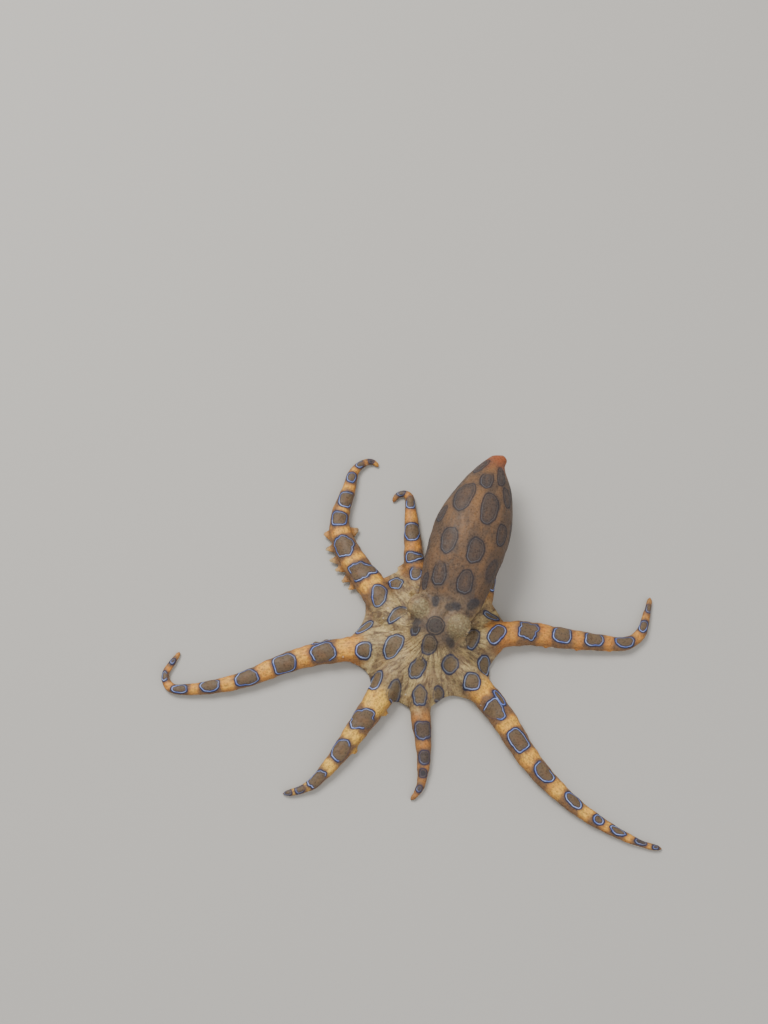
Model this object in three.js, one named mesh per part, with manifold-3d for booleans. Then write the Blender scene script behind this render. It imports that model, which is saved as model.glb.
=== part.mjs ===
// A blue-ringed octopus at life size, at rest on the sea floor as a still museum model.
//
// Millimetres, +Z up. The origin is on the floor under the centre of the arm crown.
// The mantle points along +Y, so the animal looks along -Y and its right side is -X.
// Every solid is parted from its neighbours by PARTING.

import * as THREE from 'three';
import { mergeVertices } from 'three/addons/utils/BufferGeometryUtils.js';
import Module from 'manifold-3d';

const wasm = await Module();
wasm.setup();

// ---------------------------------------------------------------- driving dimensions

const PARTING = 0.3;

// The arms spring from a circle round the crown centre. Each bend is an arc along the floor:
// its length, and how far it turns to the left, in degrees. `web` is how far along the arm the
// web reaches, and `parts` are the places along the arm where it is divided.
const ROOT_CIRCLE = 6;
const ARMS = [
  {
    name: 'arm_right_1', bearing: 230, lean: -7, radius: 4.2, web: 17, parts: [29, 42],
    bends: [[12, 35], [8, -7], [12, 0], [10, -9], [4, -23], [6, -20]],
  },
  {
    name: 'arm_right_2', bearing: 191, lean: 13, radius: 3.7, web: 21, parts: [36, 56],
    bends: [[10, -7], [13, 9], [17, 15], [24, -26], [8, -120], [6, 0]],
  },
  {
    name: 'arm_right_3', bearing: 167, lean: -2, radius: 4.7, web: 21, parts: [34, 50],
    bends: [[10, -29], [12, 6], [12, -13], [12, -43], [9, 10], [7, -60], [4, -91]],
  },
  {
    name: 'arm_right_4', bearing: 110, lean: 6, radius: 3.7, web: 18, parts: [28, 38],
    bends: [[12, 9], [10, -16], [17, 0], [3, 95], [4, 75]],
  },
  {
    name: 'arm_left_4', bearing: 42, lean: 0, radius: 3.4, web: 16, parts: [27, 42],
    bends: [[10, 44], [10, 12], [14, 4], [8, 10], [9, 130], [8, 50]],
  },
  {
    name: 'arm_left_3', bearing: 20, lean: 1, radius: 3.9, web: 16, parts: [30, 46],
    bends: [[9, 14], [14, -28], [21, 5], [10, 77], [9, 3]],
  },
  {
    name: 'arm_left_2', bearing: 330, lean: 4, radius: 3.9, web: 16, parts: [33, 54],
    bends: [[11, -6], [15, -14], [20, 19], [21, 19], [8, 16]],
  },
  {
    name: 'arm_left_1', bearing: 260, lean: 11, radius: 3.3, web: 12, parts: [21, 29],
    bends: [[9, 14], [9, 8], [13, -16], [6, -45]],
  },
];
const ARM_TIP_RADIUS = 0.7;
const ARM_TAPER = 1.5;
const ARM_SIDES = 10;
const ARM_STEP = 3;
const ARM_TIP_STEP = 1.7;
// An arm is lower than it is wide, and lies on a flat sole: these are its half height as a share
// of its radius, and the height of its centre as a share of that half height.
const ARM_FLATNESS = 0.85;
const ARM_CENTRE = 0.8;
// Towards the crown the back of each arm climbs to meet the head.
const ARM_RISE = 2.4;
const ARM_RISE_LENGTH = 16;

// The web fills the gaps between neighbouring arms, as far out as these radii, in the same
// order as ARMS: each is the gap between that arm and the next one, going clockwise.
const WEB_NOTCHES = [18.2, 20.6, 24.3, 17, 18.5, 15.7, 13.7, 17.5];
const WEB_EDGE = 1.4;
const CROWN_HEIGHT = 9;
const CROWN_SLOPE = 2.2;
const WEB_SEGMENTS = 48;
const WEB_RINGS = 6;

// The head is turned a little to the right of the mantle's line.
const HEAD_TURN = -11;
const HEAD_CENTRE = [-0.6, 4.2, 9.4];
const HEAD_HALF = [7.4, 8.8, 6.2];
// Each eye lies in a round brow; `blend` rounds the fold where the brow leaves the head.
const BROW = { aside: 5.6, behind: 1, height: 13.3, radius: 3.4, blend: 0.8 };
const EYE = { aside: 7, height: 12.3, radius: 2.2 };
const HEAD_FACETS = [30, 20];
const EYE_FACETS = [14, 10];

// The mantle is a blunt egg with a pointed tip. Its front edge wraps the neck.
const MANTLE_FRONT = 8.5;
const MANTLE_LENGTH = 48;
const MANTLE_WIDEST = 0.46;
const MANTLE_HALF_WIDTH = 10.5;
const MANTLE_HALF_HEIGHT = 8.3;
// Shares of those at the neck, and the rolled lip of the front edge.
const MANTLE_NECK_WIDTH = 0.8;
const MANTLE_NECK_HEIGHT = 0.68;
const MANTLE_LIP = 0.05;
const MANTLE_LIP_WIDTH = 0.7;
// The bag narrows to a blunt tip of this radius. The last ring is just short of its end.
const MANTLE_TIP = 2;
const MANTLE_NARROWING = 1.5;
const MANTLE_BLUNTNESS = 6;
const MANTLE_END = 0.9995;
// The middle line leans to the left towards the tip and arches over the hind arm.
const MANTLE_ASIDE = 1;
const MANTLE_LEAN = 1.95;
const MANTLE_HEIGHT = 10.8;
const MANTLE_ARCH = 2.5;
const MANTLE_RINGS = 16;
const MANTLE_SIDES = 24;

// The funnel looks out on the right, between the neck and the hind arms.
const FUNNEL_START = [-2.5, 9.5, 5.8];
const FUNNEL_END = [-9.6, 12.6, 7.4];
const FUNNEL_ROOT_RADIUS = 2.9;
const FUNNEL_MOUTH_RADIUS = 1.5;
const FUNNEL_SIDES = 12;

const SKIN_OCHRE = 0x9a7d55;
const SKIN_BROWN = 0x6d5644;
const SKIN_TAN = 0xb4895a;
const EYE_DARK = 0x33302a;

// ---------------------------------------------------------------- small helpers

const radians = THREE.MathUtils.degToRad;
const smooth = THREE.MathUtils.smoothstep;
const lerp = THREE.MathUtils.lerp;

/** The larger of two values, with the corner between them filled. */
function filledMax(a, b, blend) {
  return (a + b + Math.hypot(a - b, blend)) / 2;
}

/** A material with the roughness of wet skin. */
function finish(color, roughness = 0.45) {
  return new THREE.MeshStandardMaterial({ color, roughness, metalness: 0 });
}

/** Moves every vertex of a geometry to where `place` puts it. */
function reshape(geometry, place) {
  const position = geometry.attributes.position;
  const vertex = new THREE.Vector3();
  for (let i = 0; i < position.count; i += 1) {
    vertex.fromBufferAttribute(position, i);
    place(vertex);
    position.setXYZ(i, vertex.x, vertex.y, vertex.z);
  }
  return geometry;
}

/** Turns a closed geometry into a solid that can be joined and cut. */
function solid(geometry) {
  geometry.deleteAttribute('normal');
  geometry.deleteAttribute('uv');
  const merged = mergeVertices(geometry, 1e-3);
  return new wasm.Manifold(new wasm.Mesh({
    numProp: 3,
    vertProperties: Float32Array.from(merged.attributes.position.array),
    triVerts: Uint32Array.from(merged.index.array),
  }));
}

/** The largest body of a solid that a cut may have left in several. */
function largest(shape) {
  const bodies = shape.decompose();
  bodies.sort((a, b) => b.volume() - a.volume());
  return bodies[0];
}

/** A named mesh of a solid. */
function meshOf(shape, name, material) {
  const { vertProperties, triVerts } = largest(shape).getMesh();
  const geometry = new THREE.BufferGeometry();
  geometry.setAttribute('position', new THREE.BufferAttribute(vertProperties, 3));
  geometry.setIndex(new THREE.BufferAttribute(triVerts, 1));
  geometry.computeVertexNormals();
  const mesh = new THREE.Mesh(geometry, material);
  mesh.name = name;
  return mesh;
}

// ---------------------------------------------------------------- arms

/** The whole length of an arm, from the root circle to its tip. */
function armLength(arm) {
  return arm.bends.reduce((sum, [length]) => sum + length, 0);
}

/** Where an arm is and which way it heads, `along` mm from the root circle. */
function armPoint(arm, along) {
  const root = radians(arm.bearing);
  let x = ROOT_CIRCLE * Math.cos(root);
  let y = ROOT_CIRCLE * Math.sin(root);
  let heading = root + radians(arm.lean);
  let left = along;
  for (const [length, turn] of arm.bends) {
    const run = Math.min(left, length);
    const swing = radians(turn) * (run / length);
    const half = swing / 2;
    const chord = Math.abs(half) > 1e-6 ? (run * Math.sin(half)) / half : run;
    x += chord * Math.cos(heading + half);
    y += chord * Math.sin(heading + half);
    heading += swing;
    left -= run;
    if (left <= 0) {
      break;
    }
  }
  return { x, y, heading };
}

/** Half an arm's width, which tapers from the root to the tip. */
function armRadius(arm, along) {
  const share = Math.min(along / armLength(arm), 1);
  return lerp(arm.radius, ARM_TIP_RADIUS, share ** ARM_TAPER);
}

/** How far an arm's back climbs towards the crown. */
function armRise(along) {
  return ARM_RISE * (1 - smooth(along, 0, ARM_RISE_LENGTH));
}

/** The solid of an arm between two places along it, with a flat sole on the floor. */
function armStretch(arm, from, to, grow = 0, step = ARM_STEP) {
  const rings = Math.max(1, Math.round((to - from) / step));
  const tube = new THREE.CylinderGeometry(1, 1, 1, ARM_SIDES, rings);
  reshape(tube, (vertex) => {
    const along = lerp(from, to, vertex.y + 0.5);
    const { x, y, heading } = armPoint(arm, along);
    const radius = armRadius(arm, along);
    const rise = armRise(along) / 2;
    const high = radius * ARM_FLATNESS;
    const aside = vertex.x * (radius + grow);
    const height = high * ARM_CENTRE + rise + vertex.z * (high + rise + grow);
    vertex.set(
      x + aside * Math.sin(heading),
      y - aside * Math.cos(heading),
      Math.max(height, -grow),
    );
  });
  return solid(tube);
}

/** The three lengths of an arm beyond the web. */
function armLengths(arm) {
  const [first, second] = arm.parts;
  const gap = PARTING / 2;
  return {
    base: armStretch(arm, arm.web + gap, first - gap),
    middle: armStretch(arm, first + gap, second - gap),
    tip: armStretch(arm, second + gap, armLength(arm), 0, ARM_TIP_STEP),
  };
}

// ---------------------------------------------------------------- web

/** How far one bearing is clockwise of another, from none to a full turn. */
function clockwise(from, to) {
  return THREE.MathUtils.euclideanModulo(from - to, Math.PI * 2);
}

/** The edge of the web between each arm and the next one, going clockwise. */
const WEB_GAPS = ARMS.map((arm, index) => {
  const next = ARMS[(index + 1) % ARMS.length];
  const here = armPoint(arm, arm.web);
  const there = armPoint(next, next.web);
  const start = Math.atan2(here.y, here.x);
  return {
    start,
    width: clockwise(start, Math.atan2(there.y, there.x)),
    from: Math.hypot(here.x, here.y),
    to: Math.hypot(there.x, there.y),
    notch: WEB_NOTCHES[index],
  };
});

/** How far the web reaches at a bearing: it dips from each arm into the notch between. */
function webReach(bearing) {
  const gap = WEB_GAPS.find(({ start, width }) => clockwise(start, bearing) <= width);
  const share = clockwise(gap.start, bearing) / gap.width;
  const dip = Math.sin(Math.PI * share);
  return lerp(lerp(gap.from, gap.to, share), gap.notch, dip);
}

/** The low dome of the crown with the web round it, flat on the floor. */
function webDome(grow = 0) {
  const profile = [new THREE.Vector2(0, 0), new THREE.Vector2(1, 0)];
  for (let ring = WEB_RINGS; ring >= 0; ring -= 1) {
    const share = ring / WEB_RINGS;
    const height = lerp(CROWN_HEIGHT, WEB_EDGE, share ** CROWN_SLOPE);
    profile.push(new THREE.Vector2(share, height));
  }
  const dome = new THREE.LatheGeometry(profile, WEB_SEGMENTS);
  reshape(dome, (vertex) => {
    const bearing = Math.atan2(-vertex.z, vertex.x);
    const share = Math.hypot(vertex.x, vertex.z);
    const reach = share * (webReach(bearing) + grow);
    const height = vertex.y > 0 ? vertex.y + grow : -grow;
    vertex.set(reach * Math.cos(bearing), reach * Math.sin(bearing), height);
  });
  return solid(dome);
}

/** The crown: the dome with the roots of all eight arms. */
function crown(grow = 0) {
  let shape = webDome(grow);
  for (const arm of ARMS) {
    shape = shape.add(armStretch(arm, 0, arm.web - PARTING / 2 + grow, grow));
  }
  return shape;
}

// ---------------------------------------------------------------- head, mantle and funnel

/** A place on the head, from its own sideways and forward distances and its height. */
function headPlace(aside, behind, height) {
  const turn = radians(HEAD_TURN);
  const [x, y] = HEAD_CENTRE;
  return new THREE.Vector3(
    x + aside * Math.cos(turn) - behind * Math.sin(turn),
    y + aside * Math.sin(turn) + behind * Math.cos(turn),
    height,
  );
}

/** The head: an ellipsoid that swells into a round brow over each eye. */
function headShape(grow = 0) {
  const brows = [1, -1].map((side) => new THREE.Vector3(
    side * BROW.aside,
    BROW.behind,
    BROW.height - HEAD_CENTRE[2],
  ));
  const [wide, long, high] = HEAD_HALF.map((half) => half + grow);
  const ball = new THREE.SphereGeometry(1, ...HEAD_FACETS);
  ball.rotateX(Math.PI / 2);
  reshape(ball, (vertex) => {
    let reach = 1 / Math.hypot(vertex.x / wide, vertex.y / long, vertex.z / high);
    for (const brow of brows) {
      const along = brow.dot(vertex);
      const inside = (BROW.radius + grow) ** 2 - (brow.lengthSq() - along ** 2);
      const browReach = along + Math.sqrt(Math.max(inside, 0));
      reach = filledMax(reach, browReach, BROW.blend);
    }
    vertex.multiplyScalar(reach);
    vertex.copy(headPlace(vertex.x, vertex.y, HEAD_CENTRE[2] + vertex.z));
  });
  return solid(ball);
}

/** An eyeball: it looks out sideways from under its brow. */
function eyeball(side, grow = 0) {
  const ball = new THREE.SphereGeometry(EYE.radius + grow, ...EYE_FACETS);
  ball.translate(...headPlace(side * EYE.aside, BROW.behind, EYE.height).toArray());
  return solid(ball);
}

/** The mantle's width, as a share of its widest, `share` of the way to the tip. */
function mantleSwell(share, neck) {
  if (share < MANTLE_WIDEST) {
    const lip = Math.max(1 - share / MANTLE_LIP, 0);
    const rolled = lerp(MANTLE_LIP_WIDTH, 1, Math.sqrt(1 - lip ** 2));
    return rolled * lerp(neck, 1, Math.sin((Math.PI / 2) * (share / MANTLE_WIDEST)));
  }
  const back = (share - MANTLE_WIDEST) / (1 - MANTLE_WIDEST);
  const point = MANTLE_TIP / MANTLE_HALF_WIDTH;
  const bag = (1 - point) * (1 - back ** MANTLE_NARROWING);
  return bag + point * Math.sqrt(1 - back ** MANTLE_BLUNTNESS);
}

/** The middle of the mantle, `share` of the way to the tip. */
function mantleCentre(share) {
  return {
    x: MANTLE_ASIDE + MANTLE_LEAN * share,
    y: MANTLE_FRONT + MANTLE_LENGTH * share,
    z: MANTLE_HEIGHT + MANTLE_ARCH * Math.sin(Math.PI * share),
  };
}

/** The mantle, a bag that narrows to a point behind. Its rings crowd towards both ends. */
function mantleShape() {
  const tube = new THREE.CylinderGeometry(1, 1, 1, MANTLE_SIDES, MANTLE_RINGS);
  reshape(tube, (vertex) => {
    const even = vertex.y + 0.5;
    const share = Math.min((1 - Math.cos(Math.PI * even)) / 2, MANTLE_END);
    const centre = mantleCentre(share);
    const wide = MANTLE_HALF_WIDTH * mantleSwell(share, MANTLE_NECK_WIDTH);
    const high = MANTLE_HALF_HEIGHT * mantleSwell(share, MANTLE_NECK_HEIGHT);
    vertex.set(centre.x + vertex.x * wide, centre.y, centre.z + vertex.z * high);
  });
  return solid(tube);
}

/** The funnel, a short tapered tube. */
function funnelShape(grow = 0) {
  const start = new THREE.Vector3(...FUNNEL_START);
  const end = new THREE.Vector3(...FUNNEL_END);
  const axis = end.clone().sub(start);
  const tube = new THREE.CylinderGeometry(
    FUNNEL_MOUTH_RADIUS + grow,
    FUNNEL_ROOT_RADIUS + grow,
    axis.length() + 2 * grow,
    FUNNEL_SIDES,
  );
  tube.applyQuaternion(new THREE.Quaternion().setFromUnitVectors(
    new THREE.Vector3(0, 1, 0),
    axis.clone().normalize(),
  ));
  tube.translate(...start.clone().add(end).multiplyScalar(0.5).toArray());
  return solid(tube);
}

// ---------------------------------------------------------------- the whole animal

const octopus = new THREE.Group();
octopus.name = 'blue_ringed_octopus';

const crownRoom = crown(PARTING);
const headRoom = headShape(PARTING);
const funnelRoom = funnelShape(PARTING);

let web = crown().subtract(headRoom);
let mantle = mantleShape().subtract(headRoom).subtract(crownRoom).subtract(funnelRoom);
for (const arm of ARMS) {
  for (const [part, shape] of Object.entries(armLengths(arm))) {
    octopus.add(meshOf(shape, `${arm.name}_${part}`, finish(SKIN_TAN)));
  }
  const room = armStretch(arm, arm.web - PARTING / 2, armLength(arm), PARTING);
  web = web.subtract(room);
  mantle = mantle.subtract(room);
}
octopus.add(meshOf(web, 'web', finish(SKIN_OCHRE)));
octopus.add(meshOf(mantle, 'mantle', finish(SKIN_BROWN)));

let head = headShape();
for (const [side, name] of [[-1, 'eye_right'], [1, 'eye_left']]) {
  head = head.subtract(eyeball(side, PARTING));
  octopus.add(meshOf(eyeball(side), name, finish(EYE_DARK, 0.1)));
}
octopus.add(meshOf(head, 'head', finish(SKIN_OCHRE)));

const funnel = funnelShape().subtract(headRoom).subtract(crownRoom);
octopus.add(meshOf(funnel, 'siphon', finish(SKIN_TAN)));

export default octopus;
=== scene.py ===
"""Looks of a life-size blue-ringed octopus, at rest as a still museum model.

One wet skin covers the arms, web, head, funnel and mantle without a seam. The eyes and the suckers
are pieces of their own. Sizes are in millimetres and Blender works in metres.
"""

from __future__ import annotations

import logging
import math
from dataclasses import dataclass, field
from enum import Enum
from typing import Callable, Optional, Sequence

import bpy
import numpy as np
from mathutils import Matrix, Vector, kdtree, noise


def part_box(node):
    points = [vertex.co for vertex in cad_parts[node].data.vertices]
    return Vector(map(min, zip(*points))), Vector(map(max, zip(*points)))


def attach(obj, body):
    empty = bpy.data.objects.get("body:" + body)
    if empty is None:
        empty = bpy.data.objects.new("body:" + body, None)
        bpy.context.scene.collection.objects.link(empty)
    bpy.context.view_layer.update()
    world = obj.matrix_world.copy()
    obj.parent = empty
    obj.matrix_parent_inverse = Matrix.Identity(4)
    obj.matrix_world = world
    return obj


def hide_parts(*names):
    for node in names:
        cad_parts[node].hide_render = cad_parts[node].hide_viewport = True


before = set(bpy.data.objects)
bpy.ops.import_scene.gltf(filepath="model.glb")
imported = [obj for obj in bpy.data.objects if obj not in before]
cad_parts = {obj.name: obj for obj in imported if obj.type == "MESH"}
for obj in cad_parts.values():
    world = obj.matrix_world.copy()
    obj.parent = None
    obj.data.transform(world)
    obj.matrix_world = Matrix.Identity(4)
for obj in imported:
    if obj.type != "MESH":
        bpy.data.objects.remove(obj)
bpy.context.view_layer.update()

log = logging.getLogger("octopus")

MM = 0.001
BODY = "root"

Array = np.ndarray
Piece = bpy.types.Object
Material = bpy.types.Material
Triple = tuple[float, float, float]
Placer = Callable[[Array, Array, Array], Array]


# ---------------------------------------------------------------- small helpers


def smoothstep(value: Array, low: float, high: float) -> Array:
    """Eases from 0 at `low` to 1 at `high`.

    Args:
        value: the numbers to ease.
        low: where the ease starts.
        high: where it ends.

    Returns:
        The eased share of each number.
    """
    share = np.clip((value - low) / (high - low), 0.0, 1.0)
    return share * share * (3.0 - 2.0 * share)


def fade(value: Array, low: float, high: float) -> Array:
    """Eases from 1 at `low` to 0 at `high`."""
    return 1.0 - smoothstep(value, low, high)


def between(value: Array, rise: tuple[float, float], fall: tuple[float, float]) -> Array:
    """Eases from 0 to 1 over `rise` and back to 0 over `fall`."""
    return smoothstep(value, *rise) * fade(value, *fall)


def bell(value: Array, centre: float, width: float) -> Array:
    """A soft hump of height 1 at `centre`."""
    return np.exp(-(((value - centre) / width) ** 2))


def far_from(points: Array, spot: Sequence[float]) -> Array:
    """How far each point is from a spot."""
    return np.linalg.norm(points - spot, axis=1)


def points_of(piece: Piece) -> Array:
    """Reads a mesh's vertices.

    Args:
        piece: the mesh object.

    Returns:
        An array of points, in metres.
    """
    flat = np.empty(len(piece.data.vertices) * 3, np.float32)
    piece.data.vertices.foreach_get("co", flat)
    return flat.reshape(-1, 3).astype(float)


def set_points(piece: Piece, points: Array) -> None:
    """Writes a mesh's vertices.

    Args:
        piece: the mesh object.
        points: an array of points, in metres.
    """
    piece.data.vertices.foreach_set("co", points.astype(np.float32).ravel())
    piece.data.update()


def normals_of(piece: Piece) -> Array:
    """Reads a mesh's vertex normals.

    Args:
        piece: the mesh object.

    Returns:
        An array of unit normals.
    """
    flat = np.empty(len(piece.data.vertices) * 3, np.float32)
    piece.data.vertex_normals.foreach_get("vector", flat)
    return flat.reshape(-1, 3).astype(float)


def lumps(points: Array, size: float, seed: float = 0.0) -> Array:
    """Smooth random lumps.

    Args:
        points: where to read them, in millimetres.
        size: how far apart they are, in millimetres.
        seed: which pattern to read.

    Returns:
        A height from about -1 to 1 at each point.
    """
    return np.array([noise.noise(Vector((x / size + seed, y / size, z / size))) for x, y, z in points])


def named(name: str) -> Piece:
    """Names the object that was added last, and its data.

    Args:
        name: its name.

    Returns:
        The object.
    """
    piece = bpy.context.active_object
    piece.name = piece.data.name = name
    return piece


def select_only(*pieces: Piece) -> None:
    """Selects these pieces and nothing else, with the first one active.

    Args:
        *pieces: the pieces to select.
    """
    bpy.ops.object.select_all(action="DESELECT")
    for piece in pieces:
        piece.select_set(True)
    bpy.context.view_layer.objects.active = pieces[0]


def join(name: str, pieces: Sequence[Piece]) -> Piece:
    """Joins pieces into one.

    Args:
        name: the name of the joined piece.
        pieces: the pieces to join.

    Returns:
        The joined piece.
    """
    select_only(*pieces)
    if len(pieces) > 1:
        bpy.ops.object.join()
    return named(name)


def settle(piece: Piece) -> None:
    """Bakes a piece's place, turn and scale into its mesh.

    Args:
        piece: the piece to settle.
    """
    select_only(piece)
    bpy.ops.object.transform_apply(location=True, rotation=True, scale=True)


def face_outwards(piece: Piece) -> None:
    """Merges a piece's doubles and turns its faces outwards.

    Args:
        piece: the piece to mend.
    """
    select_only(piece)
    bpy.ops.object.mode_set(mode="EDIT")
    bpy.ops.mesh.select_all(action="SELECT")
    bpy.ops.mesh.remove_doubles(threshold=1e-6)
    bpy.ops.mesh.normals_make_consistent(inside=False)
    bpy.ops.object.mode_set(mode="OBJECT")


def sleeve(name: str, sides: int, profile: Sequence[Sequence[float]], place: Placer) -> Piece:
    """Extrudes a disc into a closed sleeve and lays each of its rings in place.

    Args:
        name: the name of the piece.
        sides: how many vertices each ring has.
        profile: two numbers for each ring.
        place: gives the points, in millimetres, for the angles round the sleeve and those two numbers.

    Returns:
        The sleeve.
    """
    bpy.ops.object.select_all(action="DESELECT")
    bpy.ops.mesh.primitive_circle_add(vertices=sides, radius=1.0, fill_type="NGON")
    piece = named(name)
    bpy.ops.object.mode_set(mode="EDIT")
    bpy.ops.mesh.select_all(action="SELECT")
    for _ in profile[1:]:
        bpy.ops.mesh.extrude_region_move(TRANSFORM_OT_translate={"value": (0.0, 0.0, 1.0)})
    bpy.ops.object.mode_set(mode="OBJECT")
    start = points_of(piece)
    angle = np.arctan2(start[:, 1], start[:, 0])
    first, second = np.array(profile, float)[np.round(start[:, 2]).astype(int)].T
    set_points(piece, place(angle, first, second) * MM)
    face_outwards(piece)
    return piece


def ball(name: str, centre: Sequence[float], half: Sequence[float], turn: float = 0.0) -> Piece:
    """A smooth egg of skin, as a start for a swelling.

    Args:
        name: the name of the piece.
        centre: its centre, in millimetres.
        half: half its width, length and height, in millimetres.
        turn: how far it is turned about the upright, in degrees.

    Returns:
        The egg.
    """
    bpy.ops.object.select_all(action="DESELECT")
    bpy.ops.mesh.primitive_ico_sphere_add(
        subdivisions=5,
        radius=1.0,
        location=[c * MM for c in centre],
        rotation=(0.0, 0.0, math.radians(turn)),
        scale=[h * MM for h in half],
    )
    piece = named(name)
    settle(piece)
    return piece


def coat(piece: Piece, finish: Material) -> None:
    """Gives a piece one material."""
    piece.data.materials.clear()
    piece.data.materials.append(finish)


def paint(piece: Piece, name: str, values: Array) -> None:
    """Stores one number, or one vector, for each vertex of a piece.

    Args:
        piece: the mesh object.
        name: the attribute's name.
        values: one row for each vertex.
    """
    kind, key = ("FLOAT", "value") if values.ndim == 1 else ("FLOAT_VECTOR", "vector")
    layer = piece.data.attributes.new(name, kind, "POINT")
    layer.data.foreach_set(key, values.astype(np.float32).ravel())


# ---------------------------------------------------------------- the marks of the skin


MELT = 1.1
# Painted light and shade on the ring lines: the way towards their brighter side, and the share by which they
# dim on the far side.
PAINTED_LIGHT_SIDE = (-0.42, -0.9, 0.0)
SIDE_SHADE = 0.28
BARE_RIM = 0.45
FAR_OUT = 6.0


class Mark(Enum):
    """The kinds of mark on the skin."""

    RING = "ring"
    SMUDGE = "smudge"


@dataclass(frozen=True)
class Ring:
    """One closed or broken ring on the skin, or a dark smudge, in its region's own directions.

    Attributes:
        along: how far along the region its middle is.
        across: how far to the right its middle is: millimetres, or degrees round the mantle.
        long: half its length, in millimetres.
        wide: half its width, in millimetres.
        turn: how far it is turned from the region's length, in degrees.
        square: 2 for an oval, more for a rounded box.
        lobes: how many lobes its outline has.
        waves: how deep they are, as a share of its size.
        egg: how much wider it is towards its far end, and narrower towards its near end.
        open_at: the direction in which its line is missing, in degrees from its length.
        open_by: half the angle over which it is missing.
        glow: how bright its line is.
        dark: how dark it is inside.
        joined: whether it melts into the ring before it.
        below: the height that it stays below.
        kind: a ring or a smudge.
    """

    along: float
    across: float
    long: float
    wide: float
    turn: float = 0.0
    square: float = 2.3
    lobes: int = 3
    waves: float = 0.05
    egg: float = 0.0
    open_at: Optional[float] = None
    open_by: float = 38.0
    glow: float = 1.0
    dark: float = 0.0
    joined: bool = False
    below: float = 99.0
    kind: Mark = Mark.RING

    @property
    def half_length(self) -> float:
        """How far it reaches along its region from its middle."""
        turn = math.radians(self.turn)
        return math.hypot(self.long * math.cos(turn), self.wide * math.sin(turn))

    def reach(self, u: Array, v: Array) -> tuple[Array, Array]:
        """How far points lie outside the outline, and how much of the line shows there.

        Args:
            u: distances along the region from the ring's middle, in millimetres.
            v: distances to the right of it.

        Returns:
            The distances, negative inside, and the shares of the line.
        """
        angle = math.radians(self.turn)
        p = u * math.cos(angle) + v * math.sin(angle)
        q = -u * math.sin(angle) + v * math.cos(angle)
        wide = self.wide * (1.0 + self.egg * np.clip(p / self.long, -1.0, 1.0))
        a, b = np.abs(p) / self.long + 1e-6, np.abs(q) / wide + 1e-6
        round_it = np.arctan2(q / wide, p / self.long)
        wave = self.waves * np.cos(self.lobes * round_it + self.along)
        wave += 0.4 * self.waves * np.cos((2 * self.lobes + 1) * round_it + 2.0 * self.across)
        power = (a**self.square + b**self.square) ** (1.0 / self.square)
        slope = power ** (1.0 - self.square)
        steep = slope * np.hypot(a ** (self.square - 1.0) / self.long, b ** (self.square - 1.0) / wide)
        distance = (power - 1.0 - wave) / np.maximum(steep, 0.08)
        shown = np.ones_like(distance)
        if self.open_at is not None:
            away = np.abs((np.degrees(round_it) - self.open_at + 180.0) % 360.0 - 180.0)
            shown = smoothstep(away, self.open_by - 10.0, self.open_by + 10.0)
        return distance, shown


@dataclass
class Marks:
    """What the nearest mark gives each vertex.

    Attributes:
        points: the vertices, in millimetres.
        layers: how far outside the nearest outline each vertex is ("ring"), how bright the line is there,
            how dark the outline's "rim" is, and how "dark" the inside is.
        last: the first three of those for the mark laid last.
    """

    points: Array
    layers: dict[str, Array] = field(default_factory=dict)
    last: dict[str, Array] = field(default_factory=dict)

    def __post_init__(self) -> None:
        """Starts with bare skin, far from any mark."""
        none = np.zeros(len(self.points))
        self.layers = {"ring": none + FAR_OUT, "line": none, "rim": none, "dark": none}

    def shade(self, distance: Array, here: Array) -> Array:
        """Paints light and shade on a ring's line: brighter on the side nearer the arms' right front, dimmer
        on the far side.

        Args:
            distance: how far outside the ring's outline each vertex is.
            here: the vertices that belong to the ring's region.

        Returns:
            The brightness at each vertex, from about 0.5 to 1.
        """
        inside = here & (distance < 0.0)
        if not inside.any():
            return np.ones_like(distance)
        away = self.points - self.points[inside].mean(axis=0)
        away = away / np.maximum(np.linalg.norm(away, axis=1), 0.3)[:, None]
        return 1.0 - SIDE_SHADE + SIDE_SHADE * (away @ np.array(PAINTED_LIGHT_SIDE))

    def lay(self, ring: Ring, u: Array, v: Array, here: Array, glow: float = 1.0) -> None:
        """Adds one mark where it is nearer than those before.

        Args:
            ring: the mark to add.
            u: distances along the region from its middle.
            v: distances to the right of it.
            here: the vertices that belong to the mark's region.
            glow: how bright the lines of the region are.
        """
        distance, shown = ring.reach(u, v)
        none = np.zeros_like(distance)
        new = {"ring": distance, "line": none, "rim": none}
        if ring.kind is Mark.RING:
            # the line's brightness carries painted light and shade, brighter on one side of each ring
            new["line"] = glow * ring.glow * shown * self.shade(distance, here)
            new["rim"] = BARE_RIM + (1.0 - BARE_RIM) * shown
        if ring.joined:
            share = np.clip(0.5 + 0.5 * (self.last["ring"] - distance) / MELT, 0.0, 1.0)
            new = {name: values * share + self.last[name] * (1.0 - share) for name, values in new.items()}
            new["ring"] = new["ring"] - MELT * share * (1.0 - share)
        self.last = new
        nearer = here & (new["ring"] <= self.layers["ring"])
        for name, values in {**new, "dark": ring.dark}.items():
            self.layers[name] = np.where(nearer, values, self.layers[name])


# ---------------------------------------------------------------- arms


ROOT_CIRCLE = 6.0
TIP_RADIUS = 0.7
TAPER = 1.5
FLATNESS = 0.85
CENTRE = 0.8
RISE = 2.4
RISE_LENGTH = 16.0
SOLE = 0.32
ARM_STEP = 0.9
ARM_SIDES = 28
FLAP_ROOT = 1.8
FLAP_THICKNESS = 0.55
FLAP_TIP = 0.2


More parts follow.
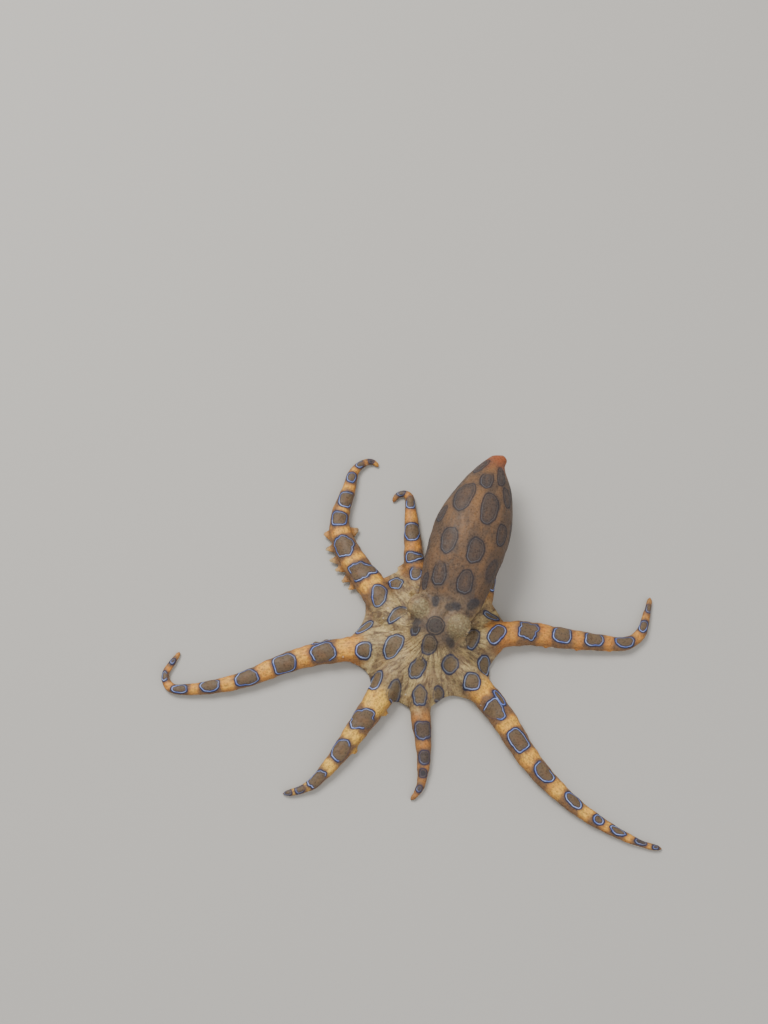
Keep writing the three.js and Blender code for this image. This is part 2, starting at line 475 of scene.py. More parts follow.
@dataclass(frozen=True)
class Flap:
    """A small three-cornered flap of skin on an arm's edge.

    Attributes:
        along: how far along the arm it stands.
        side: 1 on the arm's right, -1 on its left.
        reach: how far it stands out beyond the edge, in millimetres.
        wide: half its width at its root.
        turn: how far it leans towards the arm's tip, in degrees.
        height: the height of its point above the floor.
    """

    along: float
    side: float
    reach: float
    wide: float = 1.3
    turn: float = 0.0
    height: float = 1.1


@dataclass(frozen=True)
class Arm:
    """One arm, which follows its bends over the floor.

    Attributes:
        name: which arm it is.
        bearing: the bearing of its root, in degrees from +X.
        lean: how far it heads to the left of that.
        radius: half its width at the root, in millimetres.
        web: how far along it the web reaches.
        bends: arcs along the floor, each a length and a turn to the left in degrees.
        rings: the rings on its back.
        roll: how far its suckers show on its right side, or on its left where it is negative.
        root: how far along it the bands begin.
        bright: how strong the bands between its rings are.
        golden: how yellow they are.
        glow: how bright the lines of its rings are.
        flaps: small flaps of skin along its edges.
    """

    name: str
    bearing: float
    lean: float
    radius: float
    web: float
    bends: tuple[tuple[float, float], ...]
    rings: tuple[Ring, ...]
    roll: float = 0.0
    root: float = 11.0
    bright: float = 1.0
    golden: float = 0.4
    glow: float = 1.0
    flaps: tuple[Flap, ...] = ()

    @property
    def length(self) -> float:
        """The whole length, from the root circle to the tip."""
        return sum(length for length, _ in self.bends)

    def path(self, along: Array) -> tuple[Array, Array, Array]:
        """Follows the bends.

        Args:
            along: distances from the root circle.

        Returns:
            The x and y of each place and the heading there, in radians.
        """
        root = math.radians(self.bearing)
        x = np.full(along.shape, ROOT_CIRCLE * math.cos(root))
        y = np.full(along.shape, ROOT_CIRCLE * math.sin(root))
        heading = np.full(along.shape, root + math.radians(self.lean))
        left = along.astype(float).copy()
        for length, turn in self.bends:
            run = np.clip(left, 0.0, length)
            swing = np.radians(turn) * run / length
            chord = run * np.sinc(swing / (2.0 * math.pi))
            x += chord * np.cos(heading + swing / 2.0)
            y += chord * np.sin(heading + swing / 2.0)
            heading += swing
            left -= length
        return x, y, heading

    def half_width(self, along: Array) -> Array:
        """Half the width at each distance."""
        share = np.clip(along / self.length, 0.0, 1.0)
        return self.radius + (TIP_RADIUS - self.radius) * share**TAPER

    def rise(self, along: Array) -> Array:
        """How far the back climbs towards the crown at each distance."""
        return RISE * fade(along, 0.0, RISE_LENGTH)

    def build(self) -> Piece:
        """Extrudes the arm from under the head to its tip.

        Returns:
            The arm's flesh, a closed piece.
        """
        end = self.length
        rings = int(end / ARM_STEP)

        def place(angle: Array, along: Array, _: Array) -> Array:
            """Lays the rings along the bends, with a flat sole and a round back.

            Args:
                angle: the angle of each vertex round the arm.
                along: how far along the arm its ring is.
                _: unused.

            Returns:
                The points, in millimetres.
            """
            x, y, heading = self.path(along)
            near_tip = smoothstep(along, end - 1.2, end)
            radius = self.half_width(along) * (1.0 - 0.75 * near_tip**2)
            radius = radius * (1.0 + 0.03 * np.sin(along * 1.1 + self.bearing) + 0.02 * np.sin(along * 2.3))
            rise = self.rise(along) / 2.0
            high = radius * FLATNESS
            middle = self.half_width(along) * FLATNESS * CENTRE + rise
            up = np.sin(angle)
            above = (high + rise) * up
            below = (middle - SOLE * high) * -(np.abs(up) ** 0.75)
            aside = radius * np.sign(np.cos(angle)) * np.abs(np.cos(angle)) ** 0.9
            height = middle + np.where(up > 0.0, above, below)
            return np.stack([x + aside * np.sin(heading), y - aside * np.cos(heading), height], axis=1)

        return sleeve(self.name, ARM_SIDES, [(end * ring / rings, 0.0) for ring in range(rings + 1)], place)

    def beside(self, along: float, aside: float) -> tuple[Array, float]:
        """Finds a place beside the arm's middle line.

        Args:
            along: how far along the arm it is.
            aside: how far to the right, in halves of the arm's width.

        Returns:
            Its x and y, and the arm's heading there, in radians.
        """
        here = np.array([along])
        x, y, heading = (float(value[0]) for value in self.path(here))
        aside = aside * float(self.half_width(here)[0])
        return np.array([x + aside * math.sin(heading), y - aside * math.cos(heading)]), heading

    def flap_tip(self, flap: Flap) -> tuple[Array, float]:
        """Finds the point of a flap.

        Args:
            flap: the flap.

        Returns:
            The point, in millimetres, and the way it points, in radians.
        """
        edge, heading = self.beside(flap.along, flap.side)
        turned = heading - flap.side * math.radians(90.0 - flap.turn)
        spot = edge + flap.reach * np.array([math.cos(turned), math.sin(turned)])
        return np.array([*spot, flap.height]), turned

    def build_flaps(self) -> list[Piece]:
        """Adds each flap as a flattened cone that points out from the arm's edge.

        Returns:
            The closed flaps.
        """
        pieces = []
        for number, flap in enumerate(self.flaps):
            tip, turned = self.flap_tip(flap)
            long = flap.reach + FLAP_ROOT
            spot = tip - 0.5 * long * np.array([math.cos(turned), math.sin(turned), 0.0])
            bpy.ops.object.select_all(action="DESELECT")
            bpy.ops.mesh.primitive_cone_add(vertices=16, radius1=1.0, radius2=FLAP_TIP, depth=1.0)
            cone = named(f"flap_{self.name}_{number}")
            cone.scale = (FLAP_THICKNESS * MM, flap.wide * MM, long * MM)
            cone.rotation_euler = (0.0, math.radians(90.0), turned)
            cone.location = [c * MM for c in spot]
            settle(cone)
            pieces.append(cone)
        return pieces


ARMS = (
    Arm(
        "arm_right_1", 230, -7, 4.2, 17, ((12, 35), (8, -7), (12, 0), (10, -9), (4, -23), (6, -20)),
        (
            Ring(22.8, 0.1, 3.5, 2.7, turn=-116, lobes=4, waves=0.12, open_at=34),
            Ring(32.6, 0.1, 2.9, 2.4, turn=-18, square=2.4, open_at=-69, open_by=52),
            Ring(42.2, 0.0, 2.6, 1.9, lobes=4, waves=0.08, open_at=-90, open_by=48),
            Ring(47.3, 0.0, 1.2, 1.1, glow=0.4, open_at=180),
            Ring(50.6, 0.0, 1.0, 0.8, glow=0.4),
        ),
        golden=0.9,
        flaps=(Flap(17.4, -1, 0.8, 2.4), Flap(30.2, -1, 0.9, 2.8, 15)),
    ),
    Arm(
        "arm_right_2", 191, 13, 3.7, 21, ((10, -7), (13, 9), (17, 15), (24, -26), (8, -120), (6, 0)),
        (
            Ring(24.0, -0.7, 3.2, 2.8, turn=2, square=2.5, lobes=4, open_at=-77),
            Ring(24.2, 4.2, 2.8, 1.5, lobes=5, waves=0.12),
            Ring(34.9, -0.8, 3.0, 2.9, turn=7, square=3.0, waves=0.04),
            Ring(45.5, -0.3, 3.0, 2.4, turn=10, waves=0.08),
            Ring(55.5, 0.1, 2.5, 1.7, turn=3, square=2.7, open_at=92, waves=0.06),
            Ring(63.6, -0.1, 2.0, 1.3),
            Ring(69.7, -0.2, 1.3, 0.9, glow=0.8, open_at=90),
            Ring(74.4, 0.0, 0.8, 0.6, glow=0.6),
        ),
        golden=0.3,
        glow=0.88,
        flaps=(Flap(22.8, 1, 0.5, 2.2, height=2.9), Flap(25.4, 1, 0.6, 2.2, height=2.9)),
    ),
    Arm(
        "arm_right_3", 167, -2, 4.7, 21,
        ((10, -29), (12, 6), (12, -13), (12, -43), (9, 10), (7, -60), (4, -91)),
        (
            Ring(14.1, -0.7, 3.2, 1.9, turn=38, square=2.7, egg=0.14),
            Ring(23.4, -1.1, 2.6, 2.7, turn=30, lobes=4, waves=0.1, open_at=-120, open_by=24),
            Ring(22.2, 2.4, 1.6, 2.1, turn=30, joined=True),
            Ring(32.2, -0.9, 3.1, 2.9, turn=32, lobes=5, waves=0.07),
            Ring(40.8, 0.0, 2.1, 2.4, turn=4, square=3.2, waves=0.03),
            Ring(47.3, 0.5, 2.4, 2.2, turn=-8, square=3.0, open_at=80),
            Ring(54.6, 0.0, 1.6, 1.4),
            Ring(59.6, 0.0, 1.1, 1.1, glow=0.8, open_at=20),
            Ring(63.2, 0.2, 0.7, 0.7, glow=0.3, dark=0.8),
        ),
        roll=-0.08,
        golden=0.4,
        glow=0.78,
        flaps=(
            Flap(22.2, -1, 1.7, 2.0), Flap(24.8, -1, 2.0, 2.2), Flap(28.0, -1, 2.2, 2.2, 10),
            Flap(30.6, -1, 2.5, 2.4, 20), Flap(34.0, -1, 2.2, 2.4, 15), Flap(37.6, -1, 1.8, 2.8, 20),
            Flap(37.2, 1, 2.5, 2.9, 15),
        ),
    ),
    Arm(
        "arm_right_4", 110, 6, 3.7, 18, ((12, 9), (10, -16), (17, 0), (3, 95), (4, 75)),
        (
            Ring(15.0, -0.6, 1.7, 1.6, turn=20, open_at=10, glow=0.9),
            Ring(20.2, -1.0, 1.5, 1.6, turn=10),
            Ring(20.1, 1.3, 0.8, 1.6, turn=-6, joined=True),
            Ring(28.1, -0.1, 2.7, 2.6, square=2.4, egg=0.1),
            Ring(37.3, 0.1, 1.8, 1.4, open_at=0, open_by=60),
            Ring(42.4, 0.0, 1.0, 0.9, glow=0.5),
        ),
        roll=0.05,
        bright=0.75,
        golden=0.3,
        glow=0.78,
        flaps=(Flap(18.6, -1, 2.2, 2.3), Flap(16.2, -1, 1.8, 2.2)),
    ),
    Arm(
        "arm_left_4", 42, 0, 3.4, 16, ((10, 44), (10, 12), (14, 4), (8, 10), (9, 130), (8, 50)),
        (
            Ring(18.5, 1.1, 2.1, 2.8, square=2.6),
            Ring(28.0, 0.0, 2.5, 2.05, square=2.6),
            Ring(37.0, 0.0, 2.2, 1.804, square=2.6),
            Ring(44.5, 0.0, 1.7, 1.394, square=2.6),
            Ring(51.0, 0.0, 1.2, 0.984, square=2.6),
            Ring(55.5, 0.0, 0.8, 0.656, square=2.6),
        ),
        bright=0.3,
    ),
    Arm(
        "arm_left_3", 20, 1, 3.9, 16, ((9, 14), (14, -28), (21, 5), (10, 77), (9, 3)),
        (
            Ring(19.7, -0.1, 2.5, 2.7, turn=-10, lobes=4, waves=0.15, glow=0.9),
            Ring(28.9, -0.3, 2.4, 2.4, square=2.7, egg=-0.05, open_at=-90),
            Ring(37.5, -0.2, 2.4, 2.0, square=2.8, open_at=-90),
            Ring(45.9, -0.1, 2.6, 1.5, turn=12, square=2.7, waves=0.07),
            Ring(53.6, -0.2, 1.7, 1.3),
            Ring(59.3, 0.3, 1.2, 1.0, glow=0.5, open_at=0),
        ),
        roll=0.06,
        root=6.5,
        bright=0.75,
        golden=0.25,
        glow=0.75,
        flaps=(Flap(25.0, 1, 0.25, 2.4), Flap(33.4, 1, 0.35, 2.4), Flap(41.8, 1, 0.3, 2.2)),
    ),
    Arm(
        "arm_left_2", 330, 4, 3.9, 16, ((11, -6), (15, -14), (20, 19), (21, 19), (8, 16)),
        (
            Ring(18.4, 1.1, 3.0, 2.4, turn=-17, lobes=3, waves=0.1, egg=-0.3, open_at=97, open_by=48),
            Ring(16.4, -2.2, 2.3, 0.95, waves=0.03),
            Ring(28.3, 0.1, 3.1, 2.2, turn=-5, square=3.4, waves=0.04),
            Ring(38.9, -0.4, 3.0, 1.9, square=2.5, open_at=-115, open_by=30),
            Ring(49.2, -0.6, 2.6, 1.5, turn=8, square=2.1),
            Ring(57.2, -0.3, 1.4, 1.2, turn=16),
            Ring(62.8, -0.4, 2.0, 1.1, lobes=4, waves=0.1, glow=0.8),
            Ring(69.2, -0.3, 1.5, 0.8, glow=0.45, dark=0.6),
            Ring(73.2, 0.0, 0.7, 0.6, glow=0.5),
        ),
        root=7.5,
        golden=0.55,
    ),
    Arm(
        "arm_left_1", 260, 11, 3.3, 12, ((9, 14), (9, 8), (13, -16), (6, -45)),
        (
            Ring(18.2, -0.1, 2.2, 2.3, square=2.8, lobes=5, waves=0.07, glow=0.4, dark=0.4),
            Ring(25.2, -0.2, 1.7, 1.6, glow=0.32, dark=0.6),
            Ring(29.3, -0.1, 1.0, 1.0, glow=0.2, dark=0.9),
            Ring(33.4, 0.0, 0.8, 0.7, glow=0.4, dark=0.4),
        ),
        bright=0.5,
        golden=0.1,
    ),
)


# ---------------------------------------------------------------- web, head, funnel and mantle


GAZE_TILT = 12.0
CREASES = (
    (-6.6, 9.9, -4.0, 12.2), (-5.3, 9.2, -4.2, 12.6), (-6.4, 8.4, -8.2, 6.0),
    (8.8, 7.0, 9.5, 3.8), (9.5, 3.8, 8.1, 0.6), (-17.2, 0.2, -13.6, 2.0),
    (-0.2, 4.6, -0.7, 7.6), (1.2, 4.2, 1.4, 6.4), (-3.6, 3.4, -3.0, 1.2), (2.6, -3.4, 3.6, -6.0),
)
EYE_NODES = {1: "eye_left", -1: "eye_right"}
BROW_REACH = 4.9
LID_SUNK = 0.35
WEB_SIDES = 240
FUNNEL_SIDES = 24
MANTLE_SIDES = 72
MANTLE_RINGS = 64


@dataclass(frozen=True)
class Web:
    """The low crown with the web round it.

    Attributes:
        notches: how far the web reaches between each arm and the next one, going clockwise.
        edge: how thick its edge is.
        height: the height of the crown.
        slope: how its height falls towards the edge.
        pleat: how deep its pleats are.
        rings: the marks on it, with `along` towards +X and `across` towards +Y.
    """

    notches: tuple[float, ...] = (19.0, 20.6, 24.3, 17, 20.2, 15.7, 13.7, 17.5)
    edge: float = 1.4
    height: float = 9.0
    slope: float = 2.2
    pleat: float = 0.09
    rings: tuple[Ring, ...] = (
        Ring(-14.8, 14.3, 1.8, 1.85, waves=0.07, lobes=5),
        Ring(-19.6, 0.0, 2.5, 1.0, turn=47, egg=0.25),
        Ring(-10.2, -4.4, 3.25, 2.15, turn=76),
        Ring(-11.6, 4.1, 3.0, 1.4, turn=58, egg=0.32, glow=0.6, open_at=-50, open_by=40),
        Ring(-17.7, -6.9, 1.95, 2.0, turn=100, square=2.7),
        Ring(-12.3, -14.3, 2.6, 1.5, turn=83, egg=0.1, glow=0.85),
        Ring(-2.4, -8.7, 2.5, 1.75, turn=68, lobes=5, glow=0.5, open_at=30, open_by=24),
        Ring(5.75, -5.4, 2.0, 1.9, turn=62, egg=0.1, glow=0.42),
        Ring(9.6, 3.4, 2.7, 1.5, turn=90, glow=0.5, open_at=110, below=9.6),
        Ring(12.6, 12.3, 2.05, 0.8, turn=4, glow=0.7),
        Ring(-6.8, -15.7, 2.6, 1.5, turn=83, glow=0.45, open_at=131),
        Ring(0.1, -15.1, 2.4, 1.7, turn=107, lobes=5, waves=0.06, glow=0.42),
        Ring(4.6, -12.6, 1.6, 1.2, turn=94, glow=0.35, open_at=112),
        Ring(15.35, 6.95, 3.0, 1.75, turn=67, square=2.5, waves=0.03),
        Ring(12.4, -7.9, 2.1, 2.05, turn=99, square=2.7, glow=0.8),
        Ring(14.3, -1.7, 2.7, 1.55, turn=100, egg=0.1, square=2.0),
        Ring(-0.4, 1.5, 2.1, 2.1, waves=0.02, glow=0.05, dark=0.75),
        Ring(-5.4, 0.4, 1.9, 1.05, turn=96, glow=0.34, dark=0.8, open_at=0, open_by=95),
        Ring(-0.8, -3.3, 1.95, 1.75, turn=77, egg=0.3, glow=0.26, dark=0.2),
        Ring(-5.5, 1.5, 1.3, 1.2, dark=0.85, kind=Mark.SMUDGE),
        Ring(4.3, -0.8, 1.4, 1.2, dark=0.8, kind=Mark.SMUDGE),
        Ring(-2.2, 7.8, 1.7, 1.2, turn=112, dark=0.9, kind=Mark.SMUDGE),
        Ring(1.9, 7.2, 1.5, 1.25, dark=0.8, kind=Mark.SMUDGE),
        Ring(3.4, 7.8, 1.6, 1.25, turn=10, dark=0.9, kind=Mark.SMUDGE),
        Ring(7.5, 10.1, 2.2, 1.25, turn=52, dark=0.8, kind=Mark.SMUDGE),
    )

    def outline(self) -> tuple[Array, ...]:
        """Where each gap between two arms starts, how wide it is, and how far the web reaches.

        Returns:
            The starting bearings, the widths, the reaches at both ends and the notches.
        """
        ends = [arm.path(np.array([float(arm.web)])) for arm in ARMS]
        start = np.array([math.atan2(y[0], x[0]) for x, y, _ in ends])
        reach = np.array([math.hypot(x[0], y[0]) for x, y, _ in ends])
        width = (start - np.roll(start, -1)) % (2.0 * math.pi)
        return start, width, reach, np.roll(reach, -1), np.array(self.notches, float)

    def reach(self, bearing: Array) -> Array:
        """How far the web reaches.

        Args:
            bearing: bearings, in radians.

        Returns:
            The reach at each of them.
        """
        start, width, here, there, notch = self.outline()
        past = (start[None, :] - bearing[:, None]) % (2.0 * math.pi)
        share = past / width[None, :]
        gap = np.argmax(share <= 1.0, axis=1)
        rows = np.arange(len(bearing))
        share = share[rows, gap]
        straight = here[gap] * (1.0 - share) + there[gap] * share
        dip = np.sin(math.pi * share)
        return straight * (1.0 - dip) + notch[gap] * dip

    def build(self) -> Piece:
        """Extrudes the web as a sleeve that runs from the middle of its sole over its edge to the crown.

        Returns:
            The web's flesh, a closed piece.
        """
        sole = [(0.02, 0.9), (0.5, 0.8), (0.86, 0.5), (0.98, 0.25)]
        tops = np.linspace(1.0, 0.02, 26)
        over = [(share, self.edge + (self.height - self.edge) * (1.0 - share**self.slope)) for share in tops]

        def place(angle: Array, share: Array, height: Array) -> Array:
            """Lays the rings out from the middle of the sole and back over the top."""
            reach = share * self.reach(angle)
            return np.stack([reach * np.cos(angle), reach * np.sin(angle), height], axis=1)

        return sleeve("web", WEB_SIDES, [*sole, (1.01, 0.7), *over], place)


@dataclass(frozen=True)
class Head:
    """The head with its brows and lids.

    Attributes:
        turn: how far the head is turned, in degrees.
        centre, half: the middle of the skull, and half its width, length and height.
        nape, nape_half: the same of the nape, which fills the neck.
        forehead, forehead_half: the same of the forehead, which runs from the skull down to the web.
        brow: how far aside and behind the middle each brow is, and its height.
        brow_radius: its radius.
        lid_rim: how far the edge of each lid stands out round the eyeball.
        lid_open: half the length and half the height of the opening between the lids.
        domes: where the pale skin over each eye is, and its radius.
        creases: the start and end of each crease.
    """

    turn: float = -11.0
    centre: Triple = (-0.6, 4.2, 9.4)
    half: Triple = (7.4, 8.8, 6.2)
    nape: Triple = (0.9, 9.6, 10.9)
    nape_half: Triple = (7.9, 6.6, 5.5)
    forehead: Triple = (-0.5, -0.6, 7.0)
    forehead_half: Triple = (7.4, 7.2, 4.5)
    brow: Triple = (5.6, 1.0, 13.3)
    brow_radius: float = 3.4
    lid_rim: float = 0.38
    lid_open: tuple[float, float] = (1.75, 1.2)
    domes: tuple[tuple[float, ...], ...] = ((5.6, 2.9, 3.1), (-5.4, 4.9, 2.4))
    creases: tuple[tuple[float, ...], ...] = CREASES

    def place(self, aside: float, behind: float, height: float) -> Triple:
        """A place on the head.

        Args:
            aside: how far to the left of the middle.
            behind: how far behind it.
            height: the height above the floor.

        Returns:
            The point, in millimetres.
        """
        turn = math.radians(self.turn)
        return (
            self.centre[0] + aside * math.cos(turn) - behind * math.sin(turn),
            self.centre[1] + aside * math.sin(turn) + behind * math.cos(turn),
            height,
        )

    def gaze(self, side: int) -> tuple[Array, ...]:
        """The directions of an eye.

        Args:
            side: 1 on the left, -1 on the right.

        Returns:
            The way it looks, the way to its front corner, and the way to its upper lid.
        """
        turn, tilt = math.radians(self.turn), math.radians(GAZE_TILT)
        level = side * np.array([math.cos(turn), math.sin(turn), 0.0])
        out = level * math.cos(tilt) + np.array([0.0, 0.0, math.sin(tilt)])
        fore = np.array([math.sin(turn), -math.cos(turn), 0.0])
        return out, fore, np.cross(fore, out) * -side

    def brows(self) -> dict[int, Triple]:
        """The middle of the brow on each side, in millimetres."""
        aside, behind, height = self.brow
        return {side: self.place(side * aside, behind, height) for side in (1, -1)}

    def build(self) -> list[Piece]:
        """Adds the skull, the nape, the forehead and the brows.

        Returns:
            The closed pieces of the head.
        """
        return [
            ball("skull", self.centre, self.half, self.turn),
            ball("nape", self.nape, self.nape_half),
            ball("forehead", self.forehead, self.forehead_half),
            *(ball(f"brow_{side}", spot, [self.brow_radius] * 3) for side, spot in self.brows().items()),
        ]


@dataclass(frozen=True)
class Funnel:
    """The funnel, a short open tube under the right side of the mantle's edge.

    Attributes:
        start, end: the middle of its root and of its mouth.
        root, mouth: its radius at each.
        wall: how thick its wall is.
        depth: how deep its mouth is hollow.
    """

    start: Triple = (-2.5, 9.5, 5.8)
    end: Triple = (-9.6, 12.6, 7.4)
    root: float = 2.9
    mouth: float = 1.5
    wall: float = 0.5
    depth: float = 2.4

    def build(self) -> Piece:
        """Extrudes the tube out to its rim and back down its hollow.

        Returns:
            The closed piece.
        """
        start, end = np.array(self.start), np.array(self.end)
        axis = end - start
        length = float(np.linalg.norm(axis))
        axis = axis / length
        side = np.cross(axis, (0.0, 0.0, 1.0))
        side = side / np.linalg.norm(side)
        up = np.cross(side, axis)
        shares, depths = np.linspace(0.0, 1.0, 12), np.linspace(0.0, self.depth, 5)
        outside = [(share * length, self.root + (self.mouth - self.root) * share) for share in shares]
        rim = [(length + 0.25, self.mouth - 0.2)]
        inside = [(length - deep, self.mouth - self.wall - 0.1 * deep) for deep in depths]

        def place(angle: Array, along: Array, radius: Array) -> Array:
            """Lays the rings along the funnel's line."""
            round_it = np.cos(angle)[:, None] * side + np.sin(angle)[:, None] * up
            return start + along[:, None] * axis + radius[:, None] * round_it

        return sleeve("funnel", FUNNEL_SIDES, outside + rim + inside, place)


@dataclass(frozen=True)
class Mantle:
    """The mantle, a blunt egg with a pointed tip whose front edge wraps the neck.

    Attributes:
        front: how far behind the crown its front edge is.
        length: its length.
        widest: the share of its length where it is widest.
        half_width, half_height: half its greatest width and height.
        neck_width, neck_height: its width and height at the neck, as shares of those.
        lip: the share of its length that rolls into the front edge.
        lip_width: the width of the edge, as a share.
        tip: the radius of its blunt tip.
        dent: how much slimmer its left side is near the tip.
        tip_shift: how far the tip bends to the left.
        shoulder: how far the right corner of its flat top is drawn back.
        rings: its rings, with `along` from the front edge and `across` in degrees from the top.
    """

    front: float = 8.5
    length: float = 48.0
    widest: float = 0.46
    half_width: float = 10.5
    half_height: float = 8.3
    neck_width: float = 0.8
    neck_height: float = 0.68
    lip: float = 0.05
    lip_width: float = 0.7
    tip: float = 2.0
    dent: float = 0.7
    tip_shift: float = 1.3
    shoulder: float = 0.9
    rings: tuple[Ring, ...] = (
        Ring(29.1, -30, 4.6, 2.5, turn=-6, glow=0.2),
        Ring(27.0, 18, 4.7, 2.2, turn=-3, glow=0.22),
        Ring(36.0, -2, 2.7, 1.6, turn=-7, open_at=0, glow=0.25, dark=0.3),
        Ring(41.3, -42, 2.7, 1.3, turn=5, glow=0.2, dark=0.35),
        Ring(38.9, 31, 3.1, 1.0, glow=0.15, dark=0.3),
        Ring(32.8, 51, 2.8, 1.2, turn=-12, glow=0.2),
        Ring(23.5, -61, 2.3, 1.5, glow=0.2, dark=0.35),
        Ring(15.5, -27, 3.4, 2.1, turn=-6, glow=0.24),
        Ring(14.3, 17, 3.2, 2.1, turn=-5, glow=0.25),
        Ring(21.3, 52, 2.8, 1.6, turn=-10, glow=0.22),
        Ring(6.3, -28, 2.9, 1.75, turn=-8, glow=0.24, open_at=0),
        Ring(5.8, 18, 2.9, 1.95, turn=-8, glow=0.24),
        Ring(4.4, -57, 2.0, 0.85, glow=0.2, dark=0.5),
        Ring(14.0, -88, 3.2, 2.2, glow=0.2),
        Ring(32.5, -84, 3.0, 2.0, glow=0.2),
        Ring(12.0, 100, 3.2, 2.2, glow=0.2),
        Ring(24.5, 92, 3.4, 2.2, glow=0.2),
        Ring(35.5, 84, 2.6, 1.6, glow=0.2),
        Ring(11.5, 60, 3.4, 2.2, dark=0.45, kind=Mark.SMUDGE),
    )

    def swell(self, share: Array, neck: float) -> Array:
        """The width at each share of the length, as a share of the widest.

        Args:
            share: shares of the length, from the front edge.
            neck: the width at the neck, as a share.

        Returns:
            The shares of the greatest width.
        """
        share = np.clip(share, 0.0, 0.9995)
        before_lip = np.clip(1.0 - share / self.lip, 0.0, 1.0)
        rolled = self.lip_width + (1.0 - self.lip_width) * np.sqrt(1.0 - before_lip**2)
        ahead = rolled * (neck + (1.0 - neck) * np.sin(np.pi / 2.0 * np.clip(share / self.widest, 0.0, 1.0)))
        back = np.clip((share - self.widest) / (1.0 - self.widest), 0.0, 1.0)
        point = self.tip / self.half_width
        behind = (1.0 - point) * (1.0 - back**1.5) + point * np.sqrt(1.0 - back**6)
        return np.where(share < self.widest, ahead, behind)

    def section(self, share: Array) -> tuple[Array, ...]:
        """The mantle's cross section.

        Args:
            share: shares of the length, from the front edge.

        Returns:
            The x, y and z of its middle, half its width and half its height at each share.
        """
        x = 1.0 + 1.95 * share
        y = self.front + self.length * share
        z = 10.8 + 2.5 * np.sin(np.pi * np.clip(share, 0.0, 1.0))
        wide = self.half_width * self.swell(share, self.neck_width)
        high = self.half_height * self.swell(share, self.neck_height)
        return x, y, z, wide, high

    def build(self) -> Piece:
        """Extrudes the bag, from inside its open front edge out over the lip and back to its tip.

        Returns:
            The closed piece.
        """
        hollow = [(0.10, 0.45), (0.085, 0.68), (0.045, 0.8), (0.012, 0.84)]
        even = np.linspace(0.0, 1.0, MANTLE_RINGS)
        outer = [(share, 1.0) for share in (1.0 - np.cos(np.pi * even)) / 2.0]

        def place(angle: Array, share: Array, scale: Array) -> Array:
            """Lays the rings round the mantle's middle line."""
            x, y, z, wide, high = self.section(share)
            return np.stack([x + wide * scale * np.cos(angle), y, z + high * scale * np.sin(angle)], axis=1)

        return sleeve("mantle", MANTLE_SIDES, hollow + outer, place)


# ---------------------------------------------------------------- materials


BLACK = (0.0, 0.0, 0.0)
WHITE = (1.0, 1.0, 1.0)


@dataclass(frozen=True)
class Value:
    """A number, colour or vector in a material, with sums written as on plain numbers.

    Attributes:
        graph: the material that it is in.
        socket: the output that carries it.
    """

    graph: Graph
    socket: bpy.types.NodeSocket

    def __add__(self, other: object) -> Value:
        """The sum of two numbers."""
        return self.graph.math("ADD", self, other)

    def __sub__(self, other: object) -> Value:
        """The difference of two numbers."""
        return self.graph.math("SUBTRACT", self, other)

    def __rsub__(self, other: float) -> Value:
        """What is left of a plain number."""
        return self.graph.math("SUBTRACT", other, self)

    def __mul__(self, other: object) -> Value:
        """The product of two numbers."""
        return self.graph.math("MULTIPLY", self, other)

    def ease(self, low: float, high: float, start: float = 0.0, end: float = 1.0) -> Value:
        """Eases a number.

        Args:
            low: where the ease starts.
            high: where it ends.
            start: what it gives up to `low`.
            end: what it gives from `high` on.

        Returns:
            The eased number.
        """
        node = self.graph.nodes.new("ShaderNodeMapRange")
        node.interpolation_type = "SMOOTHSTEP"
        limits = {"From Min": low, "From Max": high, "To Min": start, "To Max": end}
        return self.graph.feed(node, "Result", {"Value": self, **limits})

    def band(self, centre: float, half: float, soft: float) -> Value:
        """1 where a number is within `half` of `centre`, easing to 0 over `soft`."""
        return self.graph.math("ABSOLUTE", self - centre).ease(half, half + soft, 1.0, 0.0)

    def stretch(self, *scale: float) -> Value:
        """Scales a vector.

        Args:
            *scale: how much each of its parts is scaled.

        Returns:
            The scaled vector.
        """
        node = self.graph.nodes.new("ShaderNodeVectorMath")
        node.operation = "MULTIPLY"
        return self.graph.feed(node, 0, {0: self, 1: scale})

    def part(self, number: int) -> Value:
        """One part of a vector."""
        return self.graph.feed(self.graph.nodes.new("ShaderNodeSeparateXYZ"), number, {0: self})


